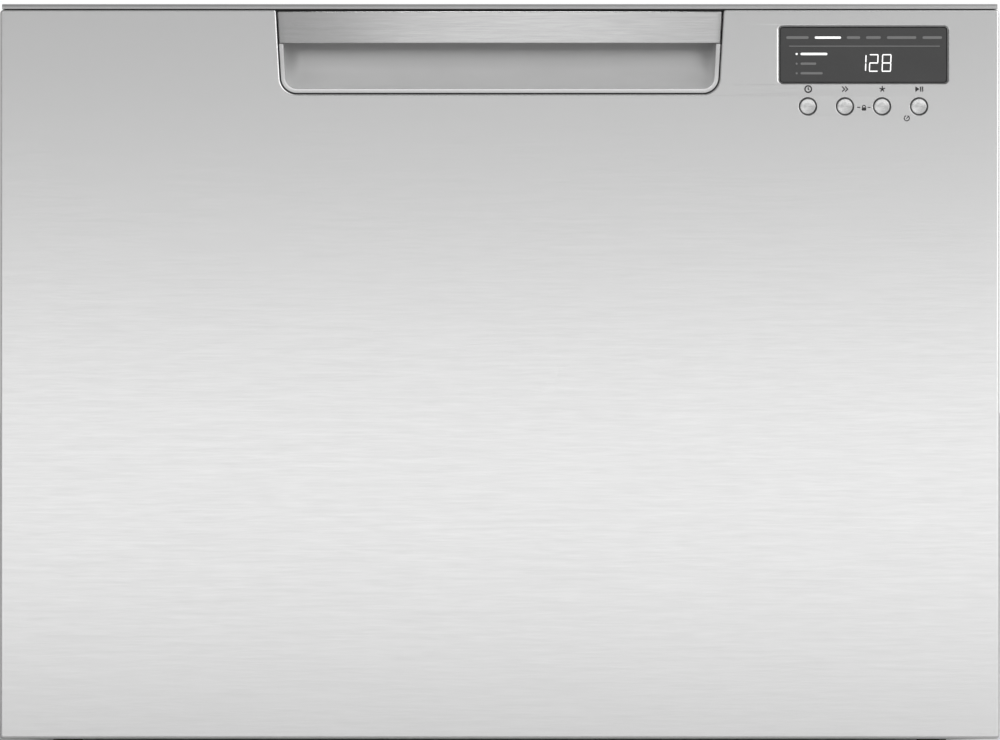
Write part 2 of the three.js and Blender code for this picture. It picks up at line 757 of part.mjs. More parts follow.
// ================================================================ rack
{
  const RX = 248;
  const RY = [-226, 212];
  const TINE_X = 81; // folding rows, on the second wire each side of the middle
  const CROSS_Y = [-96, 24, 144];
  const WALL_Y = [-168, -114, -60, -6, 48, 102, 156];
  const Z0 = 128;
  const Z1 = 300;
  const w = 4;
  // Wires of the floor and of the walls, as the bars between the openings of a cage.
  const spans = (from, to, lines) => {
    const edges = [from + w, ...lines.flatMap((c) => [c - w / 2, c + w / 2]), to - w];
    const out = [];
    for (let i = 0; i < edges.length; i += 2) out.push([edges[i], edges[i + 1]]);
    return out;
  };
  const xs = spans(-RX, RX, [-189, -135, -81, -27, 27, 81, 135, 189]);
  const ys = spans(RY[0], RY[1], CROSS_Y);
  const ysWall = spans(RY[0], RY[1], WALL_Y);
  const zs = spans(Z0, Z1, []);
  let cage = cut(
    prism(roundedRect(-RX, RX, RY[0], RY[1], 14, 2), "XY", Z0, Z1),
    prism(roundedRect(-RX + w, RX - w, RY[0] + w, RY[1] - w, 10, 2), "XY", Z0 + w, Z1 + 1),
  );
  const gaps = [];
  for (const [x0, x1] of xs)
    for (const [y0, y1] of ys) {
      const [xa, xb] = [Math.max(x0, -RX + 12), Math.min(x1, RX - 12)];
      const [ya, yb] = [Math.max(y0, RY[0] + 12), Math.min(y1, RY[1] - 12)];
      gaps.push(block(xa, xb, ya, yb, Z0 - 1, Z0 + w + 1));
    }
  for (const [z0, z1] of zs) {
    for (const [x0, x1] of xs) {
      const [xa, xb] = [Math.max(x0, -RX + 16), Math.min(x1, RX - 16)];
      gaps.push(block(xa, xb, RY[0] - 1, RY[0] + w + 1, z0, z1));
      gaps.push(block(xa, xb, RY[1] - w - 1, RY[1] + 1, z0, z1));
    }
    for (const [y0, y1] of ysWall) {
      const [ya, yb] = [Math.max(y0, RY[0] + 16), Math.min(y1, RY[1] - 16)];
      for (const s of [-1, 1])
        gaps.push(block(s * (RX - w - 1), s * (RX + 1), ya, yb, z0, z1));
    }
  }
  const pieces = [cut(cage, gaps)];
  // fixed tines
  for (const x of [-27, 27])
    for (let i = 0; i < 7; i++)
      pieces.push(block(x - 1.8, x + 1.8, -121.8 + i * 48, -118.2 + i * 48, Z0 + 3, 212));
  // clips that the tine rows and the cup shelves turn in
  for (const s of [-1, 1]) {
    for (const y of [CROSS_Y[0], CROSS_Y[2]])
      pieces.push(
        cut(
          block(s * (TINE_X - 4.5), s * (TINE_X + 4.5), y - 2, y + 2, Z0 + 1, TINE_Z + 5),
          rod("Y", [s * TINE_X, TINE_Z], 2.8, y - 5, y + 5, 8),
        ),
      );
    for (const y of [WALL_Y[1], WALL_Y[6]])
      pieces.push(
        cut(
          block(s * 233.5, s * 246, y - 2, y + 2, SHELF_Z - 4.6, SHELF_Z + 4.6),
          rod("Y", [s * 238, SHELF_Z], 2.8, y - 5, y + 5, 8),
        ),
      );
  }
  add(rackGroup, "dish_rack", join(pieces), M.rack);

  // Two rows of tines that fold down outwards.
  for (const s of [-1, 1]) {
    const row = [rod("Y", [0, 0], 2.4, -146, 200, 8)];
    for (let i = 0; i < 7; i++)
      row.push(block(-1.7, 1.7, -121.7 + i * 48, -118.3 + i * 48, 0, 70));
    add(rackGroup, s < 0 ? "tine_row_left" : "tine_row_right", join(row), M.rack, [
      s * TINE_X,
      0,
      TINE_Z,
    ]);
  }

  // Two cup shelves hinged on the rack's side walls.
  for (const s of [-1, 1]) {
    const frame = [
      rod("Y", [0, 0], 2.4, -150, 190, 8),
      block(-s * 84, -s * 87.5, -140, 180, -1.8, 1.8),
    ];
    for (let i = 0; i < 7; i++)
      frame.push(block(0, -s * 87, -136 + i * 52, -132.8 + i * 52, -1.6, 1.6));
    add(rackGroup, s < 0 ? "cup_shelf_left" : "cup_shelf_right", join(frame), M.rack, [
      s * 238,
      0,
      SHELF_Z,
    ]);
  }

  // Cutlery basket: three cells and a carrying bridge.
  const cells = [];
  for (const [a, b] of [
    [-108, -37],
    [-35, 35],
    [37, 108],
  ])
    cells.push(block(a, b, -216, -154, 135, 260));
  const basket = join(
    cut(block(-110, 110, -218, -152, 132.4, 226), cells),
    block(-36.9, -35.1, -187, -183, 150, 256),
    block(35.1, 36.9, -187, -183, 150, 256),
    block(-36.9, 36.9, -188.5, -181.5, 251, 256),
  );
  add(rackGroup, "cutlery_basket", basket, M.basket);
}

// ================================================================ runners
for (const s of [-1, 1]) {
  const side = s < 0 ? "left" : "right";
  const channel = (xWeb, t, hz, xTip, y0, y1) =>
    cut(
      block(s * xTip, s * (xWeb + t), y0, y1, RUN_Z - hz, RUN_Z + hz),
      block(s * (xTip - 5), s * xWeb, y0 - 1, y1 + 1, RUN_Z - hz + 1.5, RUN_Z + hz - 1.5),
    );
  const outer = cut(
    channel(293.2, 1.4, 22.85, 281.5, ...RUN_Y),
    [-200, 160].map((y) => rod("X", [y, RUN_Z], 3, s * 290, s * 296, 8)),
  );
  add(chassis, "runner_outer_" + side, outer, M.runner);
  add(machine, "runner_middle_" + side, channel(289.6, 1.5, 19.6, 280.5, ...RUN_Y), M.runner);
  const inner = cut(
    channel(286.1, 1.4, 16.2, 279.5, RUN_Y[0], RUN_Y[1]),
    [-190, 175].map((y) => rod("X", [y, RUN_Z], 2.2, s * 280, s * 292, 8)),
  );
  add(drawer, "runner_inner_" + side, inner, M.runner);
}

// ================================================================ chassis
{
  const [y0, y1] = CH_Y;
  const [z0, z1] = CH_Z;
  for (const s of [-1, 1]) {
    const bead = (a, b, c, d) => [
      prism(
        roundedRect(a, b, c, d, (d - c) / 2 - 3, 2),
        "YZ",
        ...(s > 0 ? [CH_X - 1.1, CH_X + 2] : [-CH_X - 2, -CH_X + 1.1]),
        { t: 0.7, s: 0.9, n: 1 },
      ),
      prism(
        roundedRect(a + 1.6, b - 1.6, c + 1.6, d - 1.6, (d - c) / 2 - 4.4, 2),
        "YZ",
        ...(s > 0 ? [CH_X - 5, CH_X + 0.8] : [-CH_X - 0.8, -CH_X + 5]),
      ),
    ];
    const beads = [bead(-205, 225, 96, 124), bead(-205, 225, 206, 234)];
    let panel = join(
      block(s * (CH_X - CH_T), s * CH_X, y0, y1, z0, z1),
      // front return, cleared where the runner comes through
      block(s * 286, s * CH_X, y0, y0 + CH_T, z0, 300),
      block(s * 286, s * CH_X, y0, y0 + CH_T, 360, z1 - 1.4),
      // bottom return
      block(s * 279, s * CH_X, y0, y1, z0, z0 + CH_T),
      beads.map((b) => b[0]),
    );
    panel = cut(
      panel,
      beads.map((b) => b[1]),
      // holes for the screws that hold the machine to the cabinet
      [60, 436].map((z) => rod("X", [-232, z], 3, s * 290, s * 300, 8)),
      [60, 436].map((z) => rod("X", [240, z], 3, s * 290, s * 300, 8)),
    );
    add(chassis, s < 0 ? "chassis_side_left" : "chassis_side_right", panel, M.galvanised);
  }
  const topBead = (a, b, c, d) => [
    prism(roundedRect(a, b, c, d, 14, 2), "XY", z1 - 2.4, z1 - 1.2 + 0.1),
    prism(roundedRect(a + 1.4, b - 1.4, c + 1.4, d - 1.4, 12.6, 2), "XY", z1 - 1.2, z1 + 5),
  ];
  const sink = [topBead(-270, -10, -215, 240), topBead(10, 270, -215, 240)];
  let top = join(
    block(-294.5, 294.5, y0, y1 - 1.4, z1 - CH_T, z1),
    block(-285.5, 285.5, y0, y0 + CH_T, 443.5, z1),
    block(-294.5, -293.3, y0 + 4, y1 - 1.4, 443, z1),
    block(293.3, 294.5, y0 + 4, y1 - 1.4, 443, z1),
    sink.map((b) => b[0]),
  );
  top = cut(top, sink.map((b) => b[1]));
  add(chassis, "chassis_top", top, M.galvanised);

  let back = join(
    block(-294.5, 294.5, y1 - CH_T, y1, z0 + 1.5, z1),
    block(-294.5, -293.3, y1 - 12, y1, z0 + 1.5, 441),
    block(293.3, 294.5, y1 - 12, y1, z0 + 1.5, 441),
    prism(roundedRect(-230, 230, 150, 400, 18, 2), "XZ", y1 - 1.15, y1 + 2.6, {
      t: 0.8,
      s: 1.2,
      n: 1,
    }),
  );
  back = cut(
    back,
    prism(roundedRect(-228, 228, 152, 398, 16, 2), "XZ", y1 - 5, y1 + 1.4),
    rod("Y", [222, 48], 15, y1 - 20, y1 + 20, 14),
    rod("Y", [150, 48], 13, y1 - 20, y1 + 20, 14),
    rod("Y", [-185, 50], 12.5, y1 - 20, y1 + 20, 14),
    [0, 2, 4, 6].map((i) => block(-60 + i * 16, -52 + i * 16, y1 - 5, y1 + 5, 60, 110)),
  );
  add(chassis, "chassis_back", back, M.galvanised);

  // Leak tray that forms the base, with the post of the folding arms.
  let tray = join(
    block(-292.5, 292.5, -251, 266.5, 15.5, 18),
    block(-292.5, -290, -251, 266.5, 15.5, 42),
    block(290, 292.5, -251, 266.5, 15.5, 42),
    block(-292.5, 292.5, 264, 266.5, 15.5, 34),
    block(-292.5, 292.5, -251, -248.5, 15.5, 23),
    // corner bosses for the feet
    [-262, 262].flatMap((x) => [-222, 238].map((y) => rod("Z", [x, y], 14, 17, 34, 12))),
    block(-200, 200, -120, -116, 17, 22),
    block(-200, 200, 116, 120, 17, 22),
    // post and pin of the chassis-side arm
    rod("Z", [LINK_X, LINK_Y], 8, 17, 83.6, 12, 6.5),
    rod("Z", [LINK_X, LINK_Y], 3, 80, 99.2, 10),
  );
  tray = cut(
    tray,
    [-262, 262].flatMap((x) => [-222, 238].map((y) => rod("Z", [x, y], 5.5, 10, 40, 10))),
  );
  add(chassis, "base_tray", tray, M.darkPlastic);

  // Levelling feet.
  for (const [name, x, y] of [
    ["foot_front_left", -262, -222],
    ["foot_front_right", 262, -222],
    ["foot_rear_left", -262, 238],
    ["foot_rear_right", 262, 238],
  ]) {
    const foot = join(
      turned(
        [
          [0, 0],
          [18, 0],
          [20, 2],
          [20, 4.5],
          [12, 7],
          [0, 7],
        ],
        16,
      ),
      rod("Z", [0, 0], 9, 6, 12.5, 6),
      rod("Z", [0, 0], 4.8, 12, 38, 8),
    );
    add(chassis, name, foot, M.darkPlastic, [x, y, 0]);
  }

  // Water inlet valve: coil, body and the threaded spigot through the back.
  const valve = join(
    block(204, 240, 232, 262, 28, 66),
    rod("Z", [222, 247], 13, 65, 82, 14),
    turned(
      [
        [0, 0],
        [12, 0],
        [12, 8],
        [13.2, 9],
        [13.2, 25.5],
        [9, 25.5],
        [9, 14],
        [0, 14],
      ],
      18,
      "Y",
    ).translate([222, 261, 48]),
    block(214, 230, 216, 233, 40, 56),
  );
  add(chassis, "inlet_valve", valve, M.white);

  // Drain connection: a barbed spigot with a flange inside.
  const drain = turned(
    [
      [7, 0],
      [10, 0],
      [10, 12],
      [16, 12],
      [16, 15],
      [11, 15],
      [11, 26],
      [12, 27],
      [10.6, 35],
      [12, 36],
      [10.2, 43.5],
      [7, 43.5],
      [7, 0],
    ],
    14,
    "Y",
  );
  add(chassis, "drain_connector", drain, M.darkPlastic, [150, YR - 43.5, 48]);

  // Mains terminal box with the cable gland through the back.
  const box = join(
    block(-224, -146, 230, 263.5, 24, 76),
    rod("Y", [-185, 50], 11.5, 262, 276, 14),
    cut(rod("Y", [-185, 50], 9.5, 275, 284, 6), rod("Y", [-185, 50], 5, 278, 290, 10)),
  );
  add(chassis, "terminal_box", box, M.darkPlastic);
}

// ================================================================ lid and its lift
{
  // Moulded lid with stiffening ribs on top and four side pins.
  const lid = join(
    prism(roundedRect(-272, 272, -253, 238, 34, 3), "XY", 420, 423.5),
    cut(
      prism(roundedRect(-272, 272, -253, 238, 34, 3), "XY", 421, 437),
      prism(roundedRect(-269, 269, -250, 235, 31, 3), "XY", 400, 460),
    ),
    [-100, 100].map((x) => block(x - 1.5, x + 1.5, -251, 236, 422, 434)),
    [-8].map((y) => block(-270, 270, y - 1.5, y + 1.5, 422, 434)),
    [-1, 1].flatMap((s) =>
      LID_PIN_Y.map((y) => rod("X", [y, LID_PIN_Z], 3, s * 270, s * 278.2, 8)),
    ),
  );
  add(lidGroup, "lid", lid, M.lid);

  // Rubber seal under the lid's edge, which meets the tub's rim.
  const seal = cut(
    join(
      prism(roundedRect(-270.5, 270.5, -255, 236, 34, 3), "XY", 416.5, 419.7),
      prism(roundedRect(-268, 268, -252.5, 231, 33, 3), "XY", 414.6, 417),
    ),
    prism(roundedRect(-261, 261, -246, 224, 28, 3), "XY", 400, 418),
    prism(roundedRect(-258, 258, -243, 222, 26, 3), "XY", 410, 430),
  );
  add(lidGroup, "lid_seal", seal, M.seal);

  for (const s of [-1, 1]) {
    const side = s < 0 ? "left" : "right";
    // Rocking levers that lower the lid: fork, hub and drive pin, level at mid travel.
    LID_PIN_Y.forEach((y, i) => {
      const plate = cut(
        join(
          prism(circle(0, 0, 7, 12), "YZ", ...(s > 0 ? [274.8, 277.8] : [-277.8, -274.8])),
          block(s * 274.8, s * 277.8, -30, 0, -5.6, 5.6),
          block(s * 274.8, s * 277.8, -4.5, 4.5, -28, 0),
        ),
        block(s * 270, s * 280, -31, -19.4, -3.4, 3.4),
      );
      const lever = join(
        plate,
        rod("X", [0, 0], 3.5, s * 275, s * 294.4, 8),
        rod("X", [0, -LEVER_L], 2.5, s * 276, s * 281.4, 8),
      );
      add(
        machine,
        "lid_lever_" + (i ? "rear_" : "front_") + side,
        lever,
        M.zinc,
        [0, y + LEVER_L * Math.cos(LEVER_A), LID_PIN_Z - LEVER_L * Math.sin(LEVER_A)],
        [-LEVER_A, 0, 0],
      );
    });
    // Drive rod that moves both levers of one side.
    const pinY = LID_PIN_Y.map((y) => y + LEVER_L * Math.cos(LEVER_A) - LEVER_L * Math.sin(LEVER_A));
    const bar = cut(
      block(s * 278.8, s * 281.2, -182, 222, 394, 407),
      pinY.map((y) => block(s * 277, s * 283, y - 3.0, y + 3.0, 390, 403.9)),
    );
    add(machine, "lid_drive_rod_" + side, bar, M.zinc);
    // Lid motor: gearbox and motor can above the rod.
    const motor = join(
      block(s * 275.5, s * 292.6, 20, 82, 411, 441),
      rod("Y", [s * 284, 426], 8.5, 81, 132, 12),
      block(s * 282.2, s * 286, 30, 60, 398, 412),
    );
    add(chassis, "lid_motor_" + side, motor, M.motor);
  }
}

// ================================================================ folding arms
{
  // Chassis-side arm, with a slot at its free end for the knee pin.
  const lower = cut(
    join(
      block(0, LINK_L, -6, 6, 84, 98),
      prism(circle(0, 0, 10, 12), "XY", 84, 98),
      block(LINK_L - 13, LINK_L + 13, -9, 14.5, 84, 98),
    ),
    rod("Z", [0, 0], 3.5, 80, 110, 10),
    block(LINK_L - 5.5, LINK_L + 5.5, -3.6, 12, 80, 110),
    block(20, LINK_L - 20, -4.2, 4.2, 86.5, 110),
  );
  add(machine, "hose_arm_lower", lower, M.darkPlastic, [LINK_X, LINK_Y, 0]);
  // Tub-side arm, with the knee pin.
  const upper = cut(
    join(
      block(0, LINK_L, -6, 6, 102, 116),
      prism(circle(0, 0, 10, 12), "XY", 102, 116),
      prism(circle(LINK_L, 0, 8, 12), "XY", 98.6, 116),
      rod("Z", [LINK_L, 0], 2.5, 86, 103, 8),
    ),
    rod("Z", [0, 0], 3.5, 95, 120, 10),
    block(20, LINK_L - 20, -4.2, 4.2, 104.5, 130),
  );
  add(machine, "hose_arm_upper", upper, M.darkPlastic, [LINK_X, LINK_Y, 0]);
}

export default machine;
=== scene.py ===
import json
import math
import random

import bmesh
import bpy
from mathutils import Matrix, Vector
from mathutils.geometry import tessellate_polygon

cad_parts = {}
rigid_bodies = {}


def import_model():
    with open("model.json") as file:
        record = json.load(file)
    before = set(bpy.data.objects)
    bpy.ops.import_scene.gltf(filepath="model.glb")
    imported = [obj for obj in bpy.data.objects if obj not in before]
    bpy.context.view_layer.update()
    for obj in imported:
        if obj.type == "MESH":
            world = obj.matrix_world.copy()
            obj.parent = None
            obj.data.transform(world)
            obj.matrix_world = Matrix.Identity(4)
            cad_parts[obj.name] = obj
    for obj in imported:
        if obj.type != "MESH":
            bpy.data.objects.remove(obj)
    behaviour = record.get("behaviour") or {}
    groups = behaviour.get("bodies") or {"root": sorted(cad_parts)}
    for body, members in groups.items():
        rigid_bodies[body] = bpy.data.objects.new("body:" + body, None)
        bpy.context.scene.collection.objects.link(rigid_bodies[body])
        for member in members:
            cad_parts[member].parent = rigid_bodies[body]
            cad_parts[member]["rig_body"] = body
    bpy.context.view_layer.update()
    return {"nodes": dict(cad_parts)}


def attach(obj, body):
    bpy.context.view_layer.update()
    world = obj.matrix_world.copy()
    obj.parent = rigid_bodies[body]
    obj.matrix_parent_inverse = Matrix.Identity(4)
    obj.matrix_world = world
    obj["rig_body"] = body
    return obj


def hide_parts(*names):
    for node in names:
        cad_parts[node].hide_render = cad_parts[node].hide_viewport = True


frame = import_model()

NODES = frame["nodes"]
MM = 0.001
random.seed(7)

# The dishwasher drawer's visible surfaces. Lengths are in millimetres until a mesh is
# made; the axes are the frame's: +X to the viewer's right, +Y to the back, +Z up.

YF = -286.5  # front face of the drawer
SKIN_Y = YF + 0.03  # the steel lies this little behind it, under the printed signs


# ------------------------------------------------------------------ 2-D outlines
def fillet(pts, r, n=4, closed=True):
    """A polyline in 2-D or 3-D with its corners rounded to radius r (one, or one each)."""
    P = [Vector(p) for p in pts]
    R = list(r) if isinstance(r, (list, tuple)) else [r] * len(P)
    out = []
    for i, p in enumerate(P):
        if R[i] <= 0 or (not closed and i in (0, len(P) - 1)):
            out.append(p.copy())
            continue
        a, b = P[i - 1] - p, P[(i + 1) % len(P)] - p
        la, lb = a.length, b.length
        if la < 1e-9 or lb < 1e-9:
            out.append(p.copy())
            continue
        a, b = a / la, b / lb
        ang = a.angle(b)
        if ang > math.radians(178.5) or ang < 1e-3:
            out.append(p.copy())
            continue
        t = min(R[i] / math.tan(ang / 2), la * 0.499, lb * 0.499)
        rr = t * math.tan(ang / 2)
        c = p + (a + b).normalized() * (rr / math.sin(ang / 2))
        s, e = p + a * t - c, p + b * t - c
        tot = s.angle(e)
        for k in range(n + 1):
            f = k / n
            out.append(c + (s * math.sin((1 - f) * tot) + e * math.sin(f * tot)) / math.sin(tot))
    return out


def area(l):
    return sum(l[i - 1][0] * p[1] - p[0] * l[i - 1][1] for i, p in enumerate(l)) / 2


def ccw(l):
    l = [Vector((p[0], p[1])) for p in l]
    keep = [p for i, p in enumerate(l) if (p - l[i - 1]).length > 1e-6]
    return keep if area(keep) > 0 else keep[::-1]


def inset(l, d):
    """A counter-clockwise loop moved inwards by d (a number, or one for each point)."""
    n, out = len(l), []
    for i in range(n):
        p, a, b = l[i], l[i - 1], l[(i + 1) % n]
        e1, e2 = (p - a), (b - p)
        n1 = Vector((-e1.y, e1.x)).normalized()
        n2 = Vector((-e2.y, e2.x)).normalized()
        m = n1 + n2
        m = n1.copy() if m.length < 1e-6 else m.normalized()
        di = d[i] if isinstance(d, (list, tuple)) else d
        out.append(p + m * (di / max(0.45, m.dot(n1))))
    return out


def rect(x0, x1, y0, y1, r=0.0, n=5):
    """Rounded rectangle, counter-clockwise."""
    p = [(x0, y0), (x1, y0), (x1, y1), (x0, y1)]
    return fillet(p, r, n) if r > 0 else [Vector(q) for q in p]


def ring(cx, cy, r, n=48, a0=0.0):
    return [
        Vector((cx + r * math.cos(a0 + 2 * math.pi * i / n), cy + r * math.sin(a0 + 2 * math.pi * i / n)))
        for i in range(n)
    ]


def stadium(x0, x1, y0, y1, n=10):
    return rect(x0, x1, y0, y1, min(x1 - x0, y1 - y0) / 2 - 1e-4, n)


XY = lambda u, v, w: (u, v, w)
XZ = lambda u, v, w: (u, w, v)
YZ = lambda u, v, w: (w, u, v)


# ------------------------------------------------------------------ mesh building
class Build:
    def __init__(self):
        self.v, self.f = [], []

    def points(self, pts):
        o = len(self.v)
        self.v.extend((p[0], p[1], p[2]) for p in pts)
        return o

    def rows(self, rows, closed=False):
        n = len(rows[0])
        o = [self.points(r) for r in rows]
        for a, b in zip(o, o[1:]):
            for i in range(n if closed else n - 1):
                j = (i + 1) % n
                self.f.append((a + i, a + j, b + j, b + i))
        return self

    def fill(self, *loops):
        o = self.points([p for l in loops for p in l])
        for t in tessellate_polygon([[Vector(p) for p in l] for l in loops]):
            self.f.append(tuple(o + i for i in t))
        return self

    def loft(self, loops):
        self.rows(loops, True)
        self.fill(loops[0])
        self.fill(loops[-1])
        return self

    def turn(self, since, matrix):
        """Everything added after index since is turned by a matrix."""
        for i in range(since, len(self.v)):
            p = matrix @ Vector(self.v[i])
            self.v[i] = (p.x, p.y, p.z)
        return self

    # a flat plate between w0 and w1, its outer and hole edges rounded
    def slab(self, outline, w0, w1, plane=XY, bevel=0.4, n=2, holes=(), hole_bevel=None):
        ol = ccw(outline)
        hl = [ccw(h) for h in holes]
        hb = bevel if hole_bevel is None else hole_bevel

        def prof(b):
            if b <= 0:
                return [(0.0, w0), (0.0, w1)]
            up = [
                (b * (1 - math.sin(math.pi / 2 * k / n)), b * (1 - math.cos(math.pi / 2 * k / n)))
                for k in range(n + 1)
            ]
            return [(d, w0 + h) for d, h in up] + [(d, w1 - h) for d, h in reversed(up)]

        outer = [[plane(p.x, p.y, w) for p in inset(ol, d)] for d, w in prof(bevel)]
        self.rows(outer, True)
        inner = []
        for h in hl:
            loops = [[plane(p.x, p.y, w) for p in inset(h, -d)] for d, w in prof(hb)]
            self.rows(loops, True)
            inner.append(loops)
        self.fill(outer[0], *[l[0] for l in inner])
        self.fill(outer[-1], *[l[-1] for l in inner])
        return self

    def box(self, x0, x1, y0, y1, z0, z1, r=0.6, n=2):
        r = min(r, 0.45 * min(x1 - x0, y1 - y0, z1 - z0))
        return self.slab(rect(x0, x1, y0, y1, r * 1.3, n + 1), z0, z1, XY, r, n)

    # a turned shape: profile of [radius, height]
    def lathe(self, profile, n=48, centre=(0, 0, 0), axis="Z", r=0.3, rn=3, closed=False):
        p = fillet([Vector(q) for q in profile], r, rn, closed) if r > 0 else [Vector(q) for q in profile]
        if closed:
            p = p + [p[0]]
        cx, cy, cz = centre
        rows = []
        for q in p:
            row = []
            for i in range(n):
                a = 2 * math.pi * i / n
                c, s = q.x * math.cos(a), q.x * math.sin(a)
                row.append(
                    (cx + c, cy + s, cz + q.y)
                    if axis == "Z"
                    else (cx + c, cy + q.y, cz + s)
                    if axis == "Y"
                    else (cx + q.y, cy + c, cz + s)
                )
            rows.append(row)
        return self.rows(rows, True)

    # a round wire or bar along points
    def tube(self, pts, r, n=10, closed=False, cap=True):
        P = [Vector(p) for p in pts]
        P = [p for i, p in enumerate(P) if i == 0 or (p - P[i - 1]).length > 1e-5]
        m = len(P)

        def tangent(i):
            if closed:
                return (P[(i + 1) % m] - P[i - 1]).normalized()
            a, b = P[max(i - 1, 0)], P[min(i + 1, m - 1)]
            return (b - a).normalized()

        t = tangent(0)
        u = t.orthogonal().normalized()
        rows = []
        for i in range(m):
            t2 = tangent(i)
            q = t.rotation_difference(t2)
            u = (q @ u)
            u = (u - t2 * u.dot(t2)).normalized()
            t = t2
            w = t.cross(u)
            rad = r[i] if isinstance(r, (list, tuple)) else r
            rows.append((P[i], t, u, w, rad))

        def loop(c, u, w, rad):
            return [
                c + u * (rad * math.cos(2 * math.pi * k / n)) + w * (rad * math.sin(2 * math.pi * k / n))
                for k in range(n)
            ]

        loops = [loop(c, u, w, rad) for c, t, u, w, rad in rows]
        if closed:
            # the last ring is matched to the first by its nearest turn
            first = loops[0]
            k = min(range(n), key=lambda s: (loops[-1][s] - first[0]).length)
            self.rows(loops, True)
            a = self.points(loops[-1])
            b = self.points(first)
            for i in range(n):
                j = (i + 1) % n
                self.f.append((a + (i + k) % n, a + (j + k) % n, b + j, b + i))
            return self
        if cap:
            c0, t0, u0, w0, r0 = rows[0]
            c1, t1, u1, w1, r1 = rows[-1]
            start = [loop(c0 - t0 * (r0 * math.sin(a)), u0, w0, max(r0 * math.cos(a), 1e-4)) for a in (1.5, 1.1, 0.6)]
            end = [loop(c1 + t1 * (r1 * math.sin(a)), u1, w1, max(r1 * math.cos(a), 1e-4)) for a in (0.6, 1.1, 1.5)]
            loops = start + loops + end
        self.rows(loops, True)
        self.f.append(tuple(len(self.v) - n + i for i in range(n)))
        first = len(self.v) - n * len(loops)
        self.f.append(tuple(first + i for i in range(n)))
        return self


def make(name, b, mat, node=None, body=None, stands_for=(), angle=33, weight=True):
    """A Build as an object with its material, riding on the body of its CAD node."""
    me = bpy.data.meshes.new(name)
    me.from_pydata([(x * MM, y * MM, z * MM) for x, y, z in b.v], [], b.f)
    bm = bmesh.new()
    bm.from_mesh(me)
    bmesh.ops.remove_doubles(bm, verts=bm.verts, dist=2e-7)
    bmesh.ops.dissolve_degenerate(bm, edges=bm.edges, dist=1e-8)
    bmesh.ops.recalc_face_normals(bm, faces=bm.faces)
    bm.to_mesh(me)
    bm.free()
    o = bpy.data.objects.new(name, me)
    bpy.context.scene.collection.objects.link(o)
    return dress(o, mat, node, body, stands_for, angle, weight)


def dress(o, mat, node, body, stands_for, angle=33, weight=True):
    me = o.data
    me.materials.clear()
    me.materials.append(mat)
    me.polygons.foreach_set("use_smooth", [True] * len(me.polygons))
    me.set_sharp_from_angle(angle=math.radians(angle))
    if weight:
        m = o.modifiers.new("normals", "WEIGHTED_NORMAL")
        m.keep_sharp = True
        m.weight = 80
    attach(o, body or NODES[node]["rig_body"])
    if stands_for:
        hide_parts(*stands_for)
    return o


def finer(node, name, mat, bevel=0.4, n=2, angle=35):
    """The CAD node's own shape with its edges rounded."""
    me = NODES[node].data.copy()
    me.name = name
    bm = bmesh.new()
    bm.from_mesh(me)
    bmesh.ops.remove_doubles(bm, verts=bm.verts, dist=2e-6)
    bmesh.ops.dissolve_limit(
        bm, angle_limit=math.radians(0.6), use_dissolve_boundaries=False, verts=bm.verts, edges=bm.edges
    )
    bmesh.ops.recalc_face_normals(bm, faces=bm.faces)
    bm.to_mesh(me)
    bm.free()
    if me.has_custom_normals:
        me.free_normals_split() if hasattr(me, "free_normals_split") else None
    o = bpy.data.objects.new(name, me)
    bpy.context.scene.collection.objects.link(o)
    m = o.modifiers.new("edges", "BEVEL")
    m.width = bevel * MM
    m.segments = n
    m.limit_method = "ANGLE"
    m.angle_limit = math.radians(angle)
    m.use_clamp_overlap = True
    return dress(o, mat, node, None, (node,), angle)


def cut(o, *cutters):
    """o less the closed cutter meshes, made real."""
    for b in cutters:
        me = bpy.data.meshes.new("cutter")
        me.from_pydata([(x * MM, y * MM, z * MM) for x, y, z in b.v], [], b.f)
        bm = bmesh.new()
        bm.from_mesh(me)
        bmesh.ops.remove_doubles(bm, verts=bm.verts, dist=2e-7)
        bmesh.ops.recalc_face_normals(bm, faces=bm.faces)
        bm.to_mesh(me)
        bm.free()
        c = bpy.data.objects.new("cutter", me)
        bpy.context.scene.collection.objects.link(c)
        m = o.modifiers.new("cut", "BOOLEAN")
        m.operation = "DIFFERENCE"
        m.solver = "EXACT"
        m.object = c
        for k in o.modifiers:
            if k.type == "WEIGHTED_NORMAL":
                k.show_viewport = False
        bpy.context.view_layer.update()
        dg = bpy.context.evaluated_depsgraph_get()
        new = bpy.data.meshes.new_from_object(o.evaluated_get(dg))
        old = o.data
        o.modifiers.remove(m)
        o.data = new
        bpy.data.meshes.remove(old)
        bpy.data.objects.remove(c)
        bpy.data.meshes.remove(me)
        for k in o.modifiers:
            if k.type == "WEIGHTED_NORMAL":
                k.show_viewport = True
        o.data.polygons.foreach_set("use_smooth", [True] * len(o.data.polygons))
        o.data.set_sharp_from_angle(angle=math.radians(33))
    return o


# ------------------------------------------------------------------ materials
def shader(name):
    m = bpy.data.materials.new(name)
    m.use_nodes = True
    t = m.node_tree
    t.nodes.clear()
    out = t.nodes.new("ShaderNodeOutputMaterial")
    b = t.nodes.new("ShaderNodeBsdfPrincipled")
    t.links.new(b.outputs["BSDF"], out.inputs["Surface"])
    return m, t, b


def coords(t, scale=(1, 1, 1)):
    c = t.nodes.new("ShaderNodeTexCoord")
    m = t.nodes.new("ShaderNodeMapping")
    m.inputs["Scale"].default_value = scale
    t.links.new(c.outputs["Object"], m.inputs["Vector"])
    return m.outputs["Vector"]


def noise_of(t, vec, scale, detail=4.0, rough=0.55, distortion=0.0):
    n = t.nodes.new("ShaderNodeTexNoise")
    n.inputs["Scale"].default_value = scale
    n.inputs["Detail"].default_value = detail
    n.inputs["Roughness"].default_value = rough
    n.inputs["Distortion"].default_value = distortion
    t.links.new(vec, n.inputs["Vector"])
    return n.outputs["Fac"]


